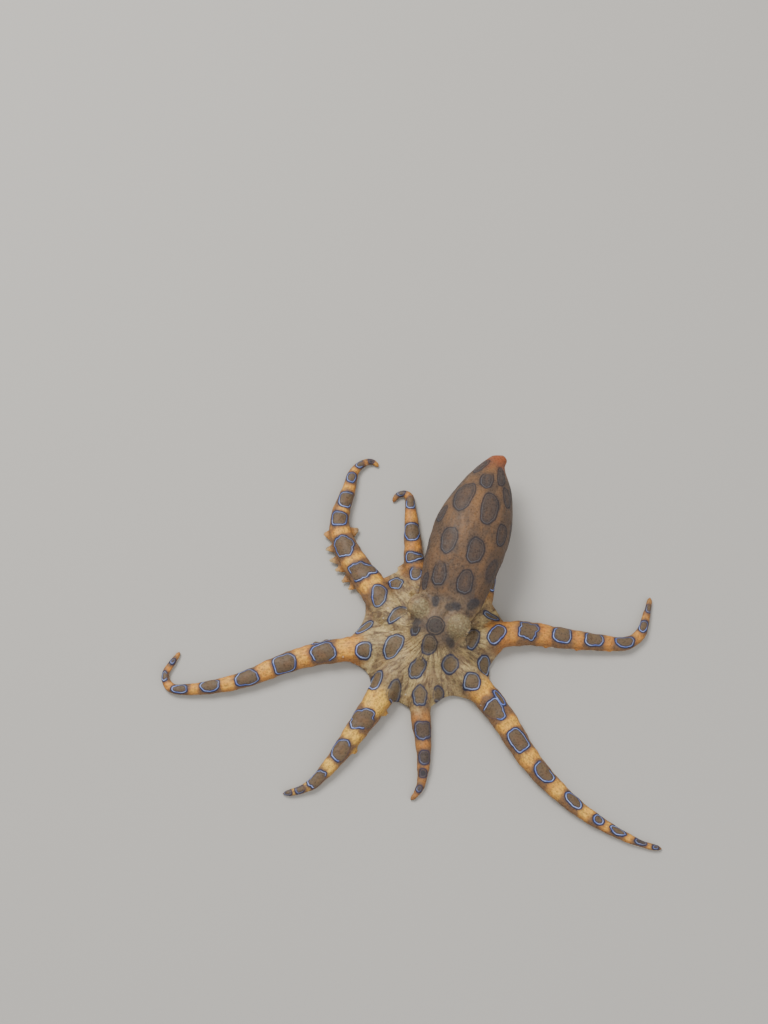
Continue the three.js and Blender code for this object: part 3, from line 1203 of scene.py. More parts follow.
class Graph:
    """Adds and links the nodes of one material."""

    def __init__(self, name: str) -> None:
        """Starts a material with a principled shader.

        Args:
            name: the material's name.
        """
        self.material = bpy.data.materials.new(name)
        self.material.use_nodes = True
        self.nodes = self.material.node_tree.nodes
        self.links = self.material.node_tree.links
        self.stored: dict[str, Value] = {}

    def plug(self, socket: bpy.types.NodeSocket, value: object) -> None:
        """Links a socket to a value of the material, or sets it.

        Args:
            socket: the input.
            value: a value of the material, a number, a colour or a vector.
        """
        if isinstance(value, Value):
            self.links.new(value.socket, socket)
        elif socket.type == "RGBA":
            socket.default_value = (*value, 1.0)
        else:
            socket.default_value = value

    def feed(self, node: bpy.types.Node, output: int | str, inputs: dict[object, object]) -> Value:
        """Plugs values into a node.

        Args:
            node: the node.
            output: the name or number of the output to read.
            inputs: what goes into it, by the name or number of each input.

        Returns:
            The value that the node gives.
        """
        for key, value in inputs.items():
            self.plug(node.inputs[key], value)
        return Value(self, node.outputs[output])

    def place(self) -> Value:
        """The Object coordinates, in metres."""
        return Value(self, self.nodes.new("ShaderNodeTexCoord").outputs["Object"])

    def read(self, name: str, output: str = "Fac") -> Value:
        """Reads what is stored on the piece.

        Args:
            name: the attribute's name.
            output: "Fac" for a number and "Vector" for a vector.

        Returns:
            The stored value.
        """
        if name not in self.stored:
            node = self.nodes.new("ShaderNodeAttribute")
            node.attribute_name = name
            self.stored[name] = Value(self, node.outputs[output])
        return self.stored[name]

    def math(self, operation: str, a: object, b: object = 0.0, clamp: bool = False) -> Value:
        """Works out one sum.

        Args:
            operation: the kind of sum.
            a: the first number.
            b: the second number.
            clamp: whether the result is kept from 0 to 1.

        Returns:
            The result.
        """
        node = self.nodes.new("ShaderNodeMath")
        node.operation = operation
        node.use_clamp = clamp
        return self.feed(node, 0, {0: a, 1: b})

    def mix(self, share: object, a: object, b: object, blend: str = "MIX") -> Value:
        """Mixes two colours.

        Args:
            share: the share of the second colour.
            a: the first colour.
            b: the second colour.
            blend: how they are mixed.

        Returns:
            The mixed colour.
        """
        node = self.nodes.new("ShaderNodeMix")
        node.data_type = "RGBA"
        node.blend_type = blend
        return self.feed(node, "Result", {"Factor": share, "A": a, "B": b})

    def noise(
        self, where: Value, scale: float, detail: float, rough: float = 0.5, warp: float = 0.0
    ) -> Value:
        """Cloudy noise from 0 to 1, so many clouds to a unit, with finer layers and a warp."""
        sizes = {"Scale": scale, "Detail": detail, "Roughness": rough, "Distortion": warp}
        return self.feed(self.nodes.new("ShaderNodeTexNoise"), "Fac", {"Vector": where, **sizes})

    def cells(self, where: Value, scale: float, random: float = 1.0, output: str = "Distance") -> Value:
        """The distance from the nearest of many scattered points, or the colour of its cell."""
        node = self.nodes.new("ShaderNodeTexVoronoi")
        return self.feed(node, output, {"Vector": where, "Scale": scale, "Randomness": random})

    def bump(self, height: Value, strength: float, distance: float, **under: Value) -> Value:
        """Turns a height into a bumped normal, on top of the Normal under it if there is one."""
        sizes = {"Strength": strength, "Distance": distance}
        return self.feed(self.nodes.new("ShaderNodeBump"), "Normal", {"Height": height, **sizes, **under})

    def finish(self, **sockets: object) -> Material:
        """Plugs values into the shader.

        Args:
            **sockets: what goes into each socket, with spaces as underscores.

        Returns:
            The finished material.
        """
        shader = self.nodes["Principled BSDF"]
        for key, value in sockets.items():
            self.plug(shader.inputs[key.replace("_", " ")], value)
        return self.material


@dataclass(frozen=True)
class SkinFinish:
    """The wet, freckled skin with its blue rings.

    Attributes:
        ochre: the yellow ground of the web.
        streak: the brown streaks on it, also used for the painted shade in the creases.
        brown: the brown of the mantle, also painted as shade on its flanks.
        warm: the warmer brown that mottles it.
        tan: the orange tan of the flecks on the web and arms, and of the lighter stripe along the mantle's
            top, which is partly painted light.
        orange: the bands between the rings of an arm.
        yellow: the pale middle of those bands.
        flank: an arm beside its rings, and on its sides, where the bands fade into it partly as painted
            shade.
        inside: the middle of a ring on an arm.
        inside_web: the middle of a ring on the web.
        inside_dull: the middle of a ring on the mantle.
        blue: the line of a ring on an arm.
        pale_blue: its brightest lengths.
        web_blue: the line of a ring on the web.
        dull_blue: the line of a ring that hardly glows.
        navy: the dark edge of the line.
        ink: the dark edge of the rings on the mantle and head.
        smudge: the dark patches.
        dome: the skin over the eyes.
        dome_shade: the painted shade in the chinks between its grains.
        head: the brown of the head.
        head_shade: the darker brown that mottles it.
        pale: the underside.
        tip: the orange tip of the mantle.
        speck: the white specks.
        fine, grain, patch, cloud: how many clouds of each size there are to a metre.
        freckle, cobble, specks: how many freckles, grains over the eyes and specks there are to a metre.
    """

    ochre: Triple = (0.58, 0.44, 0.2)
    streak: Triple = (0.155, 0.104, 0.062)
    brown: Triple = (0.098, 0.066, 0.047)
    warm: Triple = (0.178, 0.1, 0.052)
    tan: Triple = (0.25, 0.128, 0.052)
    orange: Triple = (0.74, 0.27, 0.036)
    yellow: Triple = (0.92, 0.55, 0.085)
    flank: Triple = (0.185, 0.108, 0.062)
    inside: Triple = (0.195, 0.128, 0.062)
    inside_web: Triple = (0.24, 0.168, 0.082)
    inside_dull: Triple = (0.104, 0.07, 0.05)
    blue: Triple = (0.11, 0.2, 0.64)
    pale_blue: Triple = (0.33, 0.46, 0.9)
    web_blue: Triple = (0.2, 0.265, 0.39)
    dull_blue: Triple = (0.076, 0.085, 0.104)
    navy: Triple = (0.02, 0.026, 0.068)
    ink: Triple = (0.022, 0.021, 0.027)
    smudge: Triple = (0.042, 0.04, 0.048)
    dome: Triple = (0.33, 0.275, 0.15)
    dome_shade: Triple = (0.23, 0.175, 0.095)
    head: Triple = (0.21, 0.14, 0.088)
    head_shade: Triple = (0.092, 0.066, 0.052)
    pale: Triple = (0.62, 0.54, 0.42)
    tip: Triple = (0.33, 0.088, 0.03)
    speck: Triple = (0.58, 0.50, 0.38)
    fine: float = 2600.0
    grain: float = 900.0
    patch: float = 260.0
    cloud: float = 110.0
    freckle: float = 1500.0
    cobble: float = 1350.0
    specks: float = 330.0

    def make(self) -> Material:
        """Builds the material.

        Returns:
            The skin material, which reads the marks and areas stored on the skin.
        """
        g = Graph("octopus_skin")
        place = g.place()
        grain = g.noise(place, self.grain, 3.0, 0.6)
        patches = g.noise(place, self.patch, 3.0, 0.55)
        freckles = g.cells(place, self.freckle)
        cobbles = g.cells(place, self.cobble, 0.9)
        edge = g.read("ring") + (grain - 0.5) * 0.35

        colour = self.ground(g, patches, cobbles)
        colour = self.filled(g, colour, edge, patches)
        fine = g.noise(place, self.fine, 2.0, 0.6)
        speckle = freckles.ease(0.15, 0.75, 0.74, 1.12) * fine.ease(0.3, 0.7, 0.80, 1.20)
        colour = g.mix(1.0, colour, g.mix(speckle, BLACK, WHITE), "MULTIPLY")
        chosen = g.cells(place, self.specks, output="Color").ease(0.60, 0.66)
        spot = chosen * g.cells(place, self.specks).ease(0.04, 0.11, 0.8, 0.0)
        bare = g.read("ring").ease(0.1, 0.4) * (1.0 - g.read("mantle"))
        colour = g.mix(spot * bare, colour, self.speck)
        colour = self.outlined(g, colour, edge)

        return g.finish(
            Base_Color=colour, Roughness=grain.ease(0.3, 0.7, 0.48, 0.66),
            Normal=self.relief(g, freckles, grain, cobbles),
            Specular_IOR_Level=0.24, Coat_Weight=0.04, Coat_Roughness=0.3,
            Subsurface_Weight=0.12, Subsurface_Radius=(0.0012, 0.0007, 0.0004), Subsurface_Scale=1.0,
        )

    def ground(self, g: Graph, patches: Value, cobbles: Value) -> Value:
        """The colour of the bare skin.

        Args:
            g: the material's nodes.
            patches: small clouds.
            cobbles: the grains of the skin over the eyes.

        Returns:
            The colour.
        """
        grains = g.noise(g.place().stretch(1.0, 0.4, 1.0), 330.0, 4.0, 0.6, 0.4)
        bag = g.mix(grains.ease(0.36, 0.68), self.brown, self.warm)
        # the mantle's tan along its top: partly its own colour, partly painted light from above
        bag = g.mix(g.read("warm") * grains.ease(0.34, 0.6, 0.3, 1.0), bag, self.tan)
        # painted shade: the mantle darkens to brown on its flanks
        bag = g.mix(g.read("side"), bag, self.brown)
        crown = g.mix(patches.ease(0.34, 0.66), self.head_shade, self.head)
        # painted shade in the chinks between the grains over the eyes
        cobbled = g.mix(cobbles.ease(0.18, 0.62), self.dome, self.dome_shade)
        colour = self.web(g, patches)
        areas = {
            "arm": self.limb(g, patches), "head": crown, "mantle": bag, "dome": cobbled,
            "tip": self.tip, "pale": self.pale,
        }
        for name, tone in areas.items():
            colour = g.mix(g.read(name), colour, tone)
        return colour

    def web(self, g: Graph, patches: Value) -> Value:
        """The streaked colour of the web.

        Args:
            g: the material's nodes.
            patches: small clouds.

        Returns:
            The colour.
        """
        flow = g.read("web_flow", "Vector")
        streaks = g.noise(flow.stretch(0.3, 0.72, 0.72), 1.0, 3.0, 0.55, 0.8)
        threads = g.noise(flow.stretch(0.9, 2.2, 2.2), 1.0, 3.0, 0.6, 0.6)
        share = streaks * 0.62 + threads * 0.18 + patches * 0.2
        colour = g.mix(share.ease(0.37, 0.61), self.streak, self.ochre)
        colour = g.mix(patches.ease(0.42, 0.68, 0.0, 0.38), colour, self.tan)
        clouds = g.noise(g.place(), self.cloud, 2.0)
        return g.mix(clouds.ease(0.45, 0.65, 0.0, 0.45), colour, self.head)

    def limb(self, g: Graph, patches: Value) -> Value:
        """The banded colour of an arm.

        Args:
            g: the material's nodes.
            patches: small clouds.

        Returns:
            The colour.
        """
        band = g.read("band")
        grit = g.noise(g.read("arm_flow", "Vector").stretch(0.8, 1.6, 1.0), 1.0, 4.0, 0.62, 0.3)
        yellow = g.read("golden") + (patches - 0.5) * 1.4
        yellow = g.math("ADD", yellow, band.ease(0.7, 1.0, -0.12, 0.16), clamp=True)
        gold = g.mix(yellow, self.orange, self.yellow)
        gold = g.mix(grit.ease(0.40, 0.70, 0.0, 0.7), gold, self.tan)
        flank = g.mix(grit.ease(0.36, 0.66), self.flank, self.tan)
        return g.mix(band, flank, gold)

    def filled(self, g: Graph, colour: Value, edge: Value, patches: Value) -> Value:
        """Fills the rings and smudges, darkens the skin round them, and paints shade in the creases.

        Args:
            g: the material's nodes.
            colour: the colour of the bare skin.
            edge: how far outside the nearest outline each point is, in millimetres.
            patches: small clouds.

        Returns:
            The colour.
        """
        mantle, dark = g.read("mantle"), g.read("dark")
        core = g.mix(mantle, g.mix(g.read("arm"), self.inside_web, self.inside), self.inside_dull)
        middle = edge.ease(-2.2, -0.6, 0.6, 0.0) * mantle.ease(0.2, 0.8, 1.0, 0.5)
        core = g.mix(middle * patches.ease(0.3, 0.6), core, self.tan)
        core = g.mix(dark, core, self.smudge)
        bared = edge.ease(-2.2, -0.9, 0.65, 0.0) * g.math("SUBTRACT", mantle, dark, clamp=True)
        within = g.math("SUBTRACT", edge.ease(-0.6, 0.2, 1.0, 0.0), bared, clamp=True)
        colour = g.mix(within * g.read("pale").ease(0.2, 0.7, 1.0, 0.0), colour, core)
        halo = edge.ease(0.0, 1.3, 0.45, 0.0) * g.read("rim").ease(0.2, 0.9, 0.4, 0.9)
        colour = g.mix(halo, colour, self.smudge)
        # painted shade in the creases of the head and web
        return g.mix(g.read("crease"), colour, self.streak)

    def outlined(self, g: Graph, colour: Value, edge: Value) -> Value:
        """Draws the dark edges of the rings and the blue lines between them.

        Args:
            g: the material's nodes.
            colour: the colour of the skin with its rings filled.
            edge: how far outside the nearest outline each point is, in millimetres.

        Returns:
            The colour.
        """
        line = g.read("line")
        outer = edge.band(0.16, 0.10, 0.20) * line.ease(0.05, 0.5, 0.72, 0.92)
        inner = edge.band(-0.42, 0.05, 0.15) * line.ease(0.1, 0.6, 0.30, 0.60)
        covered = g.math("MAXIMUM", g.read("mantle"), g.read("head").ease(0.1, 0.5))
        edging = g.mix(covered, self.navy, self.ink)
        colour = g.mix(g.read("rim") * g.math("MAXIMUM", outer, inner), colour, edging)
        shine = g.noise(g.place(), 420.0, 2.0)
        bright = g.mix(shine.ease(0.38, 0.62), self.blue, self.pale_blue)
        bright = g.mix(g.read("arm").ease(0.1, 0.7, 0.12, 1.0), self.web_blue, bright)
        tone = g.mix(line.ease(0.15, 0.75), self.dull_blue, bright)
        return g.mix(edge.band(-0.14, 0.045, 0.11) * line.ease(0.02, 0.35, 0.0, 0.96), colour, tone)

    def relief(self, g: Graph, freckles: Value, grain: Value, cobbles: Value) -> Value:
        """The fine grain and folds of the skin.

        Args:
            g: the material's nodes.
            freckles: the cells of the freckles.
            grain: fine clouds.
            cobbles: the grains of the skin over the eyes.

        Returns:
            The bumped normal.
        """
        arm = g.read("arm")
        height = freckles * 0.6 + grain * 1.2 + (1.0 - cobbles) * g.read("dome")
        web_folds = g.noise(g.read("web_flow", "Vector").stretch(0.5, 2.4, 2.4), 1.0, 3.0, 0.55, 0.5)
        arm_folds = g.noise(g.read("arm_flow", "Vector").stretch(0.7, 2.0, 1.0), 1.0, 3.0, 0.55, 0.5)
        folds = web_folds * (1.0 - arm) + arm_folds * arm
        skin = g.bump(height, 0.55, 0.00022)
        return g.bump(folds * (1.0 - g.read("mantle")), 0.35, 0.0003, Normal=skin)


@dataclass(frozen=True)
class SuckerFinish:
    """The pale, moist flesh of the suckers.

    Attributes:
        rim: the colour of the rims.
        cup: the darker colour inside the cups.
    """

    rim: Triple = (0.66, 0.56, 0.43)
    cup: Triple = (0.40, 0.29, 0.20)

    def make(self) -> Material:
        """Builds the material.

        Returns:
            The material, which reads how deep in its cup each point is.
        """
        g = Graph("octopus_suckers")
        mottled = g.noise(g.place(), 1200.0, 3.0, 0.6)
        colour = g.mix(g.read("cup"), self.rim, self.cup)
        return g.finish(
            Base_Color=g.mix(mottled.ease(0.35, 0.7, 0.0, 0.35), colour, self.cup),
            Roughness=mottled.ease(0.3, 0.7, 0.28, 0.42), Normal=g.bump(mottled, 0.3, 0.0001),
            Coat_Weight=0.2, Coat_Roughness=0.2, Subsurface_Weight=0.15,
            Subsurface_Radius=(0.001, 0.0006, 0.0004), Subsurface_Scale=1.0,
        )


@dataclass(frozen=True)
class EyeFinish:
    """The eyeball: a gold iris with a level slit of a pupil under a clear wet front.

    Attributes:
        gold: the light streaks of the iris.
        umber: the dark ground of the iris.
        pupil: the slit.
        white: the eyeball round the iris.
    """

    gold: Triple = (0.52, 0.38, 0.16)
    umber: Triple = (0.12, 0.075, 0.04)
    pupil: Triple = (0.006, 0.006, 0.008)
    white: Triple = (0.34, 0.30, 0.24)

    def make(self) -> Material:
        """Builds the material.

        Returns:
            The material, which reads each eye's own directions.
        """
        g = Graph("octopus_eye")
        gaze = g.read("gaze", "Vector")
        fore, up = gaze.part(1), gaze.part(2)
        spread = g.math("SQRT", fore * fore + up * up)
        streaks = g.noise(gaze.stretch(1.0, 3.0, 9.0), 2.0, 4.0, 0.65, 1.2)
        iris = g.mix(streaks.ease(0.38, 0.62), self.umber, self.gold)
        iris = g.mix(spread.ease(0.52, 0.70, 0.0, 0.75), iris, self.umber)
        colour = g.mix(spread.ease(0.70, 0.76), iris, self.white)
        wide = g.math("ABSOLUTE", fore)
        tall = g.math("ABSOLUTE", up + (fore * fore * 0.35 - 0.03))
        slit = wide.ease(0.40, 0.46, 1.0, 0.0) * tall.ease(0.12, 0.16, 1.0, 0.0)
        return g.finish(
            Base_Color=g.mix(slit, colour, self.pupil), Roughness=0.25, Normal=g.bump(streaks, 0.15, 0.0001),
            Specular_IOR_Level=0.6, Coat_Weight=1.0, Coat_Roughness=0.03, Coat_IOR=1.4,
        )


@dataclass(frozen=True)
class FloorFinish:
    """The plain pale floor.

    Attributes:
        tone: its colour.
        paler: how much paler its lightest parts are.
    """

    tone: Triple = (0.45, 0.44, 0.42)
    paler: float = 1.05

    def make(self) -> Material:
        """Builds the material.

        Returns:
            The material, with large faint clouds.
        """
        g = Graph("studio_floor")
        pale = [self.paler * c for c in self.tone]
        return g.finish(Base_Color=g.mix(g.noise(g.place(), 6.0, 2.0), self.tone, pale), Roughness=0.8)


# ---------------------------------------------------------------- the skin as one piece


@dataclass
class Skin:
    """All the flesh, merged into one skin.

    Attributes:
        web: the web.
        head: the head.
        funnel: the funnel.
        mantle: the mantle.
        grain: the size of the remesh, in millimetres.
        lumps: the height, size and seed of each layer of soft lumps.
        groove: the radius, width and depth of the groove round each brow.
        grains: the size and height of the grains on the brows, how far they spread, and where they end.
        crease_width: how wide the creases are.
        crease_depth: how deep they are.
        piece: the finished skin.
    """

    web: Web = field(default_factory=Web)
    head: Head = field(default_factory=Head)
    funnel: Funnel = field(default_factory=Funnel)
    mantle: Mantle = field(default_factory=Mantle)
    grain: float = 0.38
    lumps: tuple[Triple, ...] = ((0.10, 3.2, 0.0), (0.05, 1.3, 7.0))
    groove: Triple = (4.4, 0.5, 0.16)
    grains: tuple[float, ...] = (0.8, 0.08, 3.7, 4.6)
    crease_width: float = 0.28
    crease_depth: float = 0.22
    piece: Optional[Piece] = None

    def build(self) -> Piece:
        """Merges the flesh into one closed skin and works its folds.

        Returns:
            The skin.
        """
        parts = [arm.build() for arm in ARMS]
        parts += [flap for arm in ARMS for flap in arm.build_flaps()]
        parts += [self.web.build(), *self.head.build(), self.funnel.build(), self.mantle.build()]
        self.piece = join("octopus_skin", parts)
        settle(self.piece)
        self.merge()
        self.soften(4)
        self.soften(50, self.neck_share())
        self.refine_brows()
        self.work()
        self.open_lids()
        self.rest_on_floor()
        select_only(self.piece)
        bpy.ops.object.shade_smooth()
        return self.piece

    def merge(self) -> None:
        """Remeshes the joined flesh into one closed surface."""
        remesh = self.piece.modifiers.new("merge", "REMESH")
        remesh.mode = "VOXEL"
        remesh.voxel_size = self.grain * MM
        remesh.use_smooth_shade = True
        select_only(self.piece)
        bpy.ops.object.modifier_apply(modifier=remesh.name)
        self.keep_outer_shell()

    def keep_outer_shell(self) -> None:
        """Drops any bubbles left inside the flesh."""
        select_only(self.piece)
        bpy.ops.object.mode_set(mode="EDIT")
        bpy.ops.mesh.select_all(action="DESELECT")
        bpy.ops.mesh.separate(type="LOOSE")
        bpy.ops.object.mode_set(mode="OBJECT")
        shells = sorted(bpy.context.selected_objects, key=lambda shell: len(shell.data.vertices))
        self.piece = shells.pop()
        for shell in shells:
            bpy.data.objects.remove(shell, do_unlink=True)
        select_only(self.piece)
        named("octopus_skin")

    def soften(self, times: int, share: Optional[Array] = None) -> None:
        """Smooths the creases where the flesh meets.

        Args:
            times: how many times it is smoothed.
            share: how much each vertex takes part, or nothing for all alike.
        """
        smooth = self.piece.modifiers.new("soften", "SMOOTH")
        smooth.factor = 0.5
        smooth.iterations = times
        if share is not None:
            group = self.piece.vertex_groups.new(name="soft")
            for step in range(1, 11):
                chosen = np.nonzero(np.round(share * 10.0) == step)[0]
                group.add(chosen.tolist(), step / 10.0, "REPLACE")
            smooth.vertex_group = group.name
        select_only(self.piece)
        bpy.ops.object.modifier_apply(modifier=smooth.name)
        self.piece.vertex_groups.clear()

    def from_brows(self, points: Array) -> list[Array]:
        """How far each point is from the middle of each brow, in millimetres."""
        return [far_from(points, np.array(spot)) for spot in self.head.brows().values()]

    def neck_share(self) -> Array:
        """Finds where the head runs into the mantle or the web.

        Returns:
            How much each vertex takes part.
        """
        points = points_of(self.piece) / MM
        x, y, z = points.T
        share = between(y, (3.0, 6.0), (14.0, 18.0)) * smoothstep(z, 8.0, 10.0)
        from_top = np.hypot(x - self.head.forehead[0], y - self.head.forehead[1])
        front = between(from_top, (3.0, 4.5), (9.0, 11.0))
        share = np.maximum(share, front * fade(y, 2.5, 4.5) * smoothstep(z, 5.5, 7.0))
        for far in self.from_brows(points):
            foot = between(far, (3.2, 3.9), (4.8, 6.4)) * smoothstep(z, 8.0, 10.0)
            share = np.maximum(share * smoothstep(far, 3.4, 4.2), foot)
        return share

    def refine_brows(self) -> None:
        """Divides the skin of the brows more finely."""
        near = np.min(self.from_brows(points_of(self.piece) / MM), axis=0) < BROW_REACH
        select_only(self.piece)
        self.piece.data.vertices.foreach_set("select", near)
        bpy.ops.object.mode_set(mode="EDIT")
        bpy.ops.mesh.select_mode(type="VERT")
        bpy.ops.mesh.subdivide(number_cuts=1, smoothness=0.0)
        bpy.ops.mesh.select_all(action="DESELECT")
        bpy.ops.object.mode_set(mode="OBJECT")

    def work(self) -> None:
        """Presses the pleats, folds and grains into the skin."""
        points = points_of(self.piece) / MM
        x, y, z = points.T
        radius, bearing = np.hypot(x, y), np.arctan2(y, x)
        lift = sum(height * lumps(points, size, seed) for height, size, seed in self.lumps)
        on_web = between(radius, (8.0, 12.0), (17.0, 22.0)) * (z > 1.0) * fade(y, 9.0, 13.0)
        round_web = np.stack([12.0 * np.cos(bearing), 12.0 * np.sin(bearing), 0.16 * radius], axis=1)
        lift += self.web.pleat * on_web * 2.0 * lumps(round_web, 1.0, 3.0)
        ring, width, deep = self.groove
        size, height, spread, end = self.grains
        for far in self.from_brows(points):
            lift -= deep * bell(far, ring, width) * (z > 9.0) * (y < 9.5)
            near = far < end
            grains = np.zeros(len(points))
            grains[near] = [noise.voronoi(Vector(point / size))[0][0] for point in points[near]]
            lift += height * (0.5 - grains) * np.exp(-((far / spread) ** 6)) * near
        lift -= self.crease_depth * self.creases(points)
        points = points + normals_of(self.piece) * lift[:, None]
        self.bend_tip(points)
        set_points(self.piece, points * MM)

    def bend_tip(self, points: Array) -> None:
        """Slims the mantle's left side near its tip, bends the tip and draws back its corner.

        Args:
            points: the skin's points, in millimetres, which are moved.
        """
        mantle = self.mantle
        above = points[:, 2] > 4.0
        share = (points[:, 1] - mantle.front) / mantle.length
        middle, _, _, wide, _ = mantle.section(np.clip(share, 0.0, 0.999))
        flank = np.clip((points[:, 0] - middle) / wide, 0.0, 1.0) * above
        points[:, 0] -= mantle.dent * flank * smoothstep(share, 0.76, 0.88) * fade(share, 0.92, 0.98)
        points[:, 0] += mantle.tip_shift * smoothstep(share, 0.90, 0.99) * above
        corner = bell(points[:, 0] - middle, -1.7, 1.9) * smoothstep(share, 0.88, 0.96)
        points[:, 1] += mantle.shoulder * corner * above

    def creases(self, points: Array) -> Array:
        """Finds the creases of the head and web.

        Args:
            points: the skin's points, in millimetres.

        Returns:
            How deep in a crease each point lies, from 0 to 1.
        """
        deep = np.zeros(len(points))
        for x0, y0, x1, y1 in self.head.creases:
            start, run = np.array([x0, y0]), np.array([x1 - x0, y1 - y0])
            share = np.clip((points[:, :2] - start) @ run / (run @ run), 0.0, 1.0)
            bend = 0.25 * np.sin(share * 7.0 + x0)[:, None] * np.array([-run[1], run[0]]) / np.hypot(*run)
            far = np.linalg.norm(points[:, :2] - start - share[:, None] * run - bend, axis=1)
            ends = 1.0 - np.abs(2.0 * share - 1.0) ** 4
            deep = np.maximum(deep, bell(far, 0.0, self.crease_width) * ends)
        return deep * (points[:, 2] > 3.0)

    def open_lids(self) -> None:
        """Opens the skin in front of each eyeball and raises the edge of its lids."""
        points = points_of(self.piece) / MM
        long, tall = self.head.lid_open
        for side, node in EYE_NODES.items():
            low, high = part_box(node)
            centre, radius = np.array((low + high) / 2.0) / MM, (high.z - low.z) / 2.0 / MM
            out, fore, up = self.head.gaze(side)
            away = points - centre
            far = np.linalg.norm(away, axis=1)
            spread = np.hypot(away @ fore / long, away @ up / tall)
            sunk = radius - LID_SUNK
            edge = sunk + (radius + self.head.lid_rim - sunk) * smoothstep(spread, 0.85, 1.12)
            keep = smoothstep(spread, 1.3, 1.95)
            in_front = (away @ out > 0.0) & (far < 2.0 * radius)
            target = np.where(in_front, edge * (1.0 - keep) + far * keep, far)
            points = centre + away * (target / np.maximum(far, 1e-6))[:, None]
        set_points(self.piece, points * MM)

    def rest_on_floor(self) -> None:
        """Keeps every point of the skin on or above the floor."""
        points = points_of(self.piece)
        points[:, 2] = np.maximum(points[:, 2], 0.0)
        set_points(self.piece, points)

    # ------------------------------------------------ areas and marks

    def nearest_arm(self, points: Array) -> tuple[Array, ...]:
        """Finds each point's place on the nearest arm.

        Args:
            points: the skin's points, in millimetres.

        Returns:
            The arm's number, the distance along it, the distance round its back to the right, and how
            far outside its flesh the point is.
        """
        steps = [np.arange(0.0, arm.length, 0.2) for arm in ARMS]
        spots = [(index, step) for index, run in enumerate(steps) for step in run]
        number, along = np.array(spots).T
        tree = kdtree.KDTree(len(spots))
        for index, arm in enumerate(ARMS):
            here = np.nonzero(number == index)[0]
            x, y, _ = arm.path(along[here])
            for px, py, spot in zip(x, y, here):
                tree.insert((px, py, 0.0), spot)
        tree.balance()
        found = [tree.find((px, py, 0.0))[1] for px, py, _ in points]
        number, along = number[found].astype(int), along[found]
        round_it, outside = np.zeros(len(points)), np.zeros(len(points))
        for index, arm in enumerate(ARMS):
            here = number == index
            px, py, heading = arm.path(along[here])
            shift = points[here][:, :2] - np.stack([px, py], axis=1)
            aside = shift[:, 0] * np.sin(heading) - shift[:, 1] * np.cos(heading)
            ahead = shift[:, 0] * np.cos(heading) + shift[:, 1] * np.sin(heading)
            half = arm.half_width(along[here])
            rise = arm.rise(along[here]) / 2.0
            up = (points[here][:, 2] - half * FLATNESS * CENTRE - rise) / (half * FLATNESS + rise)
            round_it[here] = np.arctan2(aside / half, up) * half
            outside[here] = (np.hypot(aside / half, up) - 1.0) * half + np.abs(ahead) * 0.5
            along[here] += ahead
        return number, along, round_it, outside

    def on_mantle(self, points: Array) -> tuple[Array, ...]:
        """Finds each point's place on the mantle.

        Args:
            points: the skin's points, in millimetres.

        Returns:
            The distance from the front edge, the angle from the top in degrees, the reach of an angle in
            millimetres for each degree, and how far outside the mantle the point is.
        """
        share = (points[:, 1] - self.mantle.front) / self.mantle.length
        x, _, z, wide, high = self.mantle.section(np.clip(share, 0.0, 0.999))
        across, up = (points[:, 0] - x) / wide, (points[:, 2] - z) / high
        angle = np.degrees(np.arctan2(across, up))
        turned = np.radians(angle)
        step = np.hypot(wide * np.cos(turned), high * np.sin(turned)) * math.pi / 180.0
        outside = (np.hypot(across, up) - 1.0) * high
        outside = np.maximum(outside, -share * self.mantle.length * 0.8)
        return share * self.mantle.length, angle, step, outside

    def mark(self) -> None:
        """Stores the rings and the areas of colour on the skin."""
        points = points_of(self.piece) / MM
        normals = normals_of(self.piece)
        x, y, z = points.T
        radius, bearing = np.hypot(x, y), np.arctan2(y, x)
        number, along, round_it, off_arm = self.nearest_arm(points)
        back, angle, step, off_mantle = self.on_mantle(points)

        mantle = fade(off_mantle, 0.4, 1.4) * smoothstep(z, 3.6, 4.8)
        mantle *= smoothstep(back + 1.2 * lumps(points, 2.5, 4.0), -0.5, 3.5)
        past_root = smoothstep(along - np.array([limb.root for limb in ARMS])[number], 0.0, 5.0)
        arm = fade(off_arm, 0.6, 2.2) * (1.0 - mantle) * past_root
        middle = np.hypot((x - 0.4) / 9.2, (y - 5.6) / 9.6) + 0.16 * lumps(points, 3.0, 9.0)
        head = fade(middle, 0.70, 1.12) * smoothstep(z, 5.0, 8.0)

        dome = np.zeros(len(points))
        for dome_x, dome_y, size in self.head.domes:
            far = np.hypot(x - dome_x, y - dome_y) + 0.25 * lumps(points, 0.8, 6.0)
            dome = np.maximum(dome, fade(far, size - 0.5, size + 0.5) * (z > 10.0))

        marks = Marks(points)
        top = (radius < 24.0) & ((mantle < 0.5) | (y < 12.5)) & (z > 0.9) & (normals[:, 2] > -0.1)
        for ring in self.web.rings:
            marks.lay(ring, x - ring.along, y - ring.across, top & (z < ring.below))
        for index, limb in enumerate(ARMS):
            here = (number == index) & (mantle < 0.5) & (along > 5.0) & (off_arm < 2.5)
            for ring in limb.rings:
                marks.lay(ring, along - ring.along, round_it - ring.across, here, limb.glow)
        for ring in self.mantle.rings:
            marks.lay(ring, back - ring.along, (angle - ring.across) * step, mantle > 0.3)

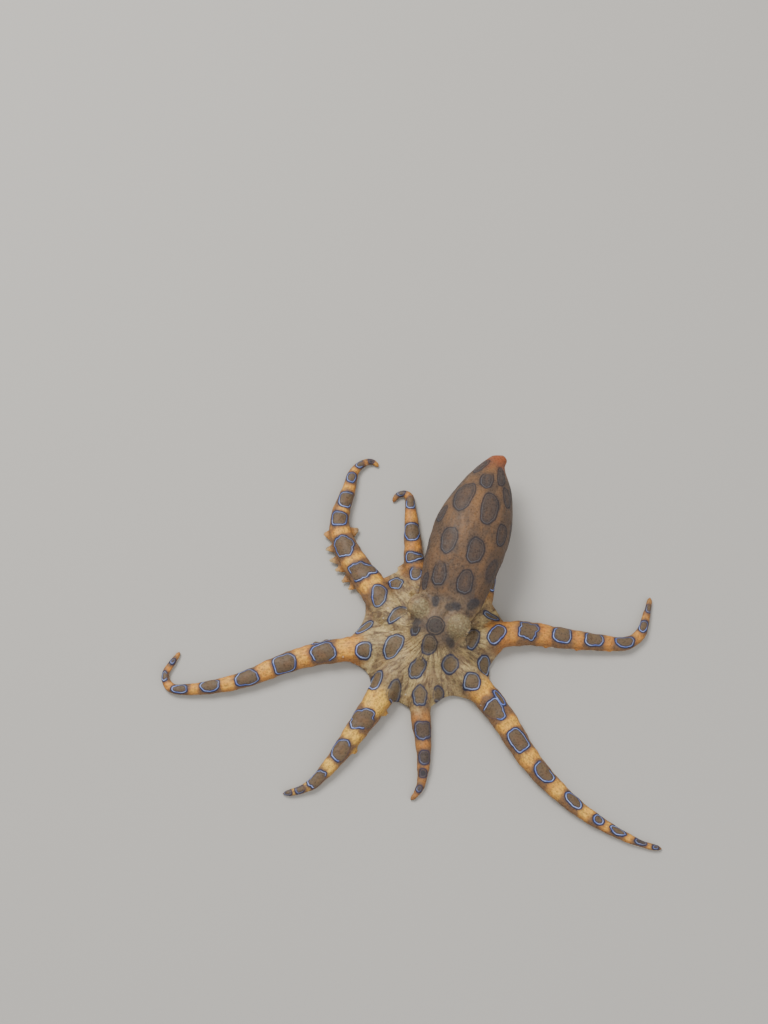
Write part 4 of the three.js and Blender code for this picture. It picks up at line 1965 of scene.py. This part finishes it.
        band, golden = self.bands(points, number, along, round_it)
        under = smoothstep(-normals[:, 2], 0.15, 0.75) * fade(z, 9.0, 12.0)
        reddish = smoothstep(back + 1.4 * lumps(points, 2.2, 2.0), 38.0, 48.5) * mantle
        outwards = np.stack([radius, 15.0 * np.cos(bearing), 15.0 * np.sin(bearing)], axis=1)
        areas = {
            "mantle": mantle, "arm": arm, "head": 0.9 * head, "dome": 0.9 * dome, "tip": reddish,
            # the mantle's top: partly its own tan, partly painted light
            "warm": 0.6 * mantle * bell(angle, -6.0, 17.0) * smoothstep(back, 13.0, 24.0),
            # painted shade on the mantle's flanks
            "side": 0.8 * mantle * smoothstep(np.abs(angle), 38.0, 85.0),
            # the crease layer is painted shade in the creases
            "band": band, "golden": golden, "pale": under, "crease": 0.7 * self.creases(points),
            "web_flow": outwards, "arm_flow": np.stack([along, round_it, number * 10.0], axis=1),
        }
        for name, values in {**marks.layers, **areas}.items():
            paint(self.piece, name, values)

    def bands(self, points: Array, number: Array, along: Array, round_it: Array) -> tuple[Array, Array]:
        """The golden bands between the rings of each arm, and its flaps.

        Args:
            points: the skin's points, in millimetres.
            number: the arm nearest to each point.
            along: how far along it the point is.
            round_it: how far round its back the point is.

        Returns:
            How strong the bands are at each point, and how yellow.
        """
        band, golden = np.zeros(len(points)), np.zeros(len(points))
        for index, limb in enumerate(ARMS):
            here = number == index
            gaps = [np.abs(along[here] - ring.along) - ring.half_length for ring in limb.rings]
            last = max(ring.along for ring in limb.rings)
            tail = 1.0 - 0.6 * smoothstep(along[here], last, last + 4.0)
            ragged = np.min(gaps, axis=0) + 1.2 * lumps(points[here], 1.7, 5.0)
            # the bands fade on the arm's rounded sides: partly its own darker flanks, partly painted shade
            flank = smoothstep(np.abs(round_it[here]) / limb.half_width(along[here]), 0.55, 1.35)
            band[here] = smoothstep(ragged, -0.2, 1.3) * tail * limb.bright * (1.0 - 0.62 * flank)
            golden[here] = limb.golden
            for flap in limb.flaps:
                far = far_from(points, limb.flap_tip(flap)[0])
                band = np.maximum(band, 0.7 * fade(far, 0.8, 2.2))
        return band * smoothstep(along, 6.0, 10.0), golden

    def dress(self) -> None:
        """Gives the skin its finish and sets it in place of the solids of flesh."""
        self.mark()
        coat(self.piece, SkinFinish().make())
        nodes = [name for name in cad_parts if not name.startswith("eye_")]
        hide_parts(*nodes)
        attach(self.piece, BODY)
        log.info("skin: %d faces", len(self.piece.data.polygons))


# ---------------------------------------------------------------- suckers, eyes


SUCKER_SIDES = 10


@dataclass
class Suckers:
    """Two rows of suckers under one arm.

    Attributes:
        arm: the arm that they are under.
        pitch: the distance between two suckers of a row, in their own widths.
        size: the radius of a sucker, as a share of half the arm's width.
        least: what is added to it, so that the suckers of the tip still show.
        apart: how far each row is from the middle, as a share of half the arm's width.
    """

    arm: Arm
    pitch: float = 1.02
    size: float = 0.30
    least: float = 0.08
    apart: float = 0.46

    def model(self) -> Piece:
        """Models one sucker of unit radius, open towards the floor.

        Returns:
            The sucker, extruded from its neck to its rim and into its cup.
        """
        outside = [(0.55, 1.35), (0.72, 0.85), (1.0, 0.45), (0.97, 0.08)]
        inside = [(0.80, 0.0), (0.62, 0.12), (0.30, 0.55)]

        def place(angle: Array, radius: Array, height: Array) -> Array:
            """Lays the rings of the cup."""
            return np.stack([radius * np.cos(angle), radius * np.sin(angle), height], axis=1)

        cup = sleeve("sucker", SUCKER_SIDES, outside + inside, place)
        x, y, _ = points_of(cup).T / MM
        paint(cup, "cup", fade(np.hypot(x, y), 0.55, 0.75))
        return cup

    def build(self) -> Piece:
        """Copies the sucker along both rows.

        Returns:
            The suckers of the arm, joined.
        """
        model = self.model()
        shape = points_of(model)
        copies = []
        for row, along in ((1.0, 1.0), (-1.0, 1.9)):
            while along < self.arm.length - 1.0:
                here = np.array([along])
                radius = self.size * float(self.arm.half_width(here)[0]) + self.least
                rolled = self.arm.roll * smoothstep(here, 14.0, 22.0)[0]
                spot, _ = self.arm.beside(along, row * self.apart + rolled)
                copy = model.copy()
                copy.data = model.data.copy()
                bpy.context.collection.objects.link(copy)
                set_points(copy, shape * radius + np.array([*spot, 0.0]) * MM)
                copies.append(copy)
                along += 2.0 * radius * self.pitch
        bpy.data.objects.remove(model, do_unlink=True)
        piece = join(f"suckers_{self.arm.name}", copies)
        bpy.ops.object.shade_smooth()
        return piece

    def dress(self, piece: Piece, finish: Material) -> None:
        """Gives the suckers their finish.

        Args:
            piece: the joined suckers.
            finish: the material.
        """
        coat(piece, finish)
        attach(piece, BODY)


@dataclass
class Eye:
    """One eyeball under its brow.

    Attributes:
        side: 1 on the left, -1 on the right.
        head: the head that it sits in.
    """

    side: int
    head: Head = field(default_factory=Head)

    @property
    def node(self) -> str:
        """The name of the eye's solid."""
        return EYE_NODES[self.side]

    def build(self) -> Piece:
        """Rounds the eyeball in the box of its solid.

        Returns:
            The eyeball.
        """
        low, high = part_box(self.node)
        centre, radius = (low + high) / 2.0, (high.z - low.z) / 2.0
        bpy.ops.object.select_all(action="DESELECT")
        bpy.ops.mesh.primitive_uv_sphere_add(segments=64, ring_count=40, radius=radius, location=centre)
        piece = named(self.node.replace("eye", "eyeball"))
        settle(piece)
        out, fore, up = self.head.gaze(self.side)
        away = (points_of(piece) - np.array(centre)) / radius
        paint(piece, "gaze", np.stack([away @ out, away @ fore, away @ up], axis=1))
        bpy.ops.object.shade_smooth()
        return piece

    def dress(self, piece: Piece, finish: Material) -> None:
        """Gives the eyeball its finish and sets it in place of its solid.

        Args:
            piece: the eyeball.
            finish: the material.
        """
        coat(piece, finish)
        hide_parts(self.node)
        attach(piece, BODY)


# ---------------------------------------------------------------- the studio


FLOOR_GAP = 0.00002


@dataclass(frozen=True)
class Studio:
    """The floor, the lights and the camera.

    Attributes:
        target: the point on the floor that the camera aims at.
        distance: how far the camera is from it.
        elevation: how steeply it looks down, in degrees.
        azimuth: how far it is turned about the upright.
        lens: its focal length.
    """

    target: Triple = (-24.2, 35.5, 0.0)
    distance: float = 439.6
    elevation: float = 66.0
    azimuth: float = 16.0
    lens: float = 55.0

    def lay_floor(self) -> None:
        """Lays the pale floor."""
        bpy.ops.object.select_all(action="DESELECT")
        bpy.ops.mesh.primitive_plane_add(size=6.0, location=(0.0, 0.0, -FLOOR_GAP))
        floor = named("floor")
        settle(floor)
        coat(floor, FloorFinish().make())

    def light(self, name: str, place: Triple, size: float, watts: float, tone: Triple) -> None:
        """Hangs one soft light.

        Args:
            name: its name.
            place: where it hangs, in metres.
            size: the width of its panel, in metres.
            watts: its power.
            tone: its colour.
        """
        bpy.ops.object.light_add(type="AREA", location=place)
        lamp = named(name)
        lamp.data.size = size
        lamp.data.energy = watts
        lamp.data.color = tone
        lamp.rotation_euler = (-Vector(place)).to_track_quat("-Z", "Y").to_euler()

    def build(self) -> None:
        """Sets up the floor, lights, sky and camera."""
        self.lay_floor()
        self.light("key", (-0.45, 0.35, 0.75), 0.45, 9.0, (1.0, 0.97, 0.92))
        self.light("fill", (0.6, -0.5, 0.6), 0.9, 4.0, (0.98, 0.98, 1.0))
        world = bpy.data.worlds.new("studio")
        bpy.context.scene.world = world
        world.use_nodes = True
        sky = world.node_tree.nodes["Background"].inputs
        sky["Color"].default_value = (1.0, 0.98, 0.95, 1.0)
        sky["Strength"].default_value = 0.55
        tilt, swing = math.radians(90.0 - self.elevation), math.radians(self.azimuth)
        look = Vector((-math.sin(swing) * math.sin(tilt), math.cos(swing) * math.sin(tilt), -math.cos(tilt)))
        bpy.ops.object.camera_add(
            location=(Vector(self.target) - look * self.distance) * MM,
            rotation=(tilt, 0.0, swing),
        )
        camera = named("camera")
        camera.data.lens = self.lens
        camera.data.sensor_fit = "VERTICAL"
        camera.data.sensor_height = 36.0
        camera.data.clip_start = 0.01
        bpy.context.scene.camera = camera


def main() -> None:
    """Builds and dresses every piece in order.
    """
    logging.basicConfig(level=logging.INFO, format="%(name)s: %(message)s")
    Studio().build()
    skin = Skin()
    skin.build()
    skin.dress()
    pale = SuckerFinish().make()
    for arm in ARMS:
        suckers = Suckers(arm)
        piece = suckers.build()
        suckers.dress(piece, pale)
        log.info("%s: %d faces", piece.name, len(piece.data.polygons))
    clear = EyeFinish().make()
    for side in (1, -1):
        eye = Eye(side)
        eye.dress(eye.build(), clear)
        log.info("%s is in place", eye.node)


if __name__ == "__main__":
    main()
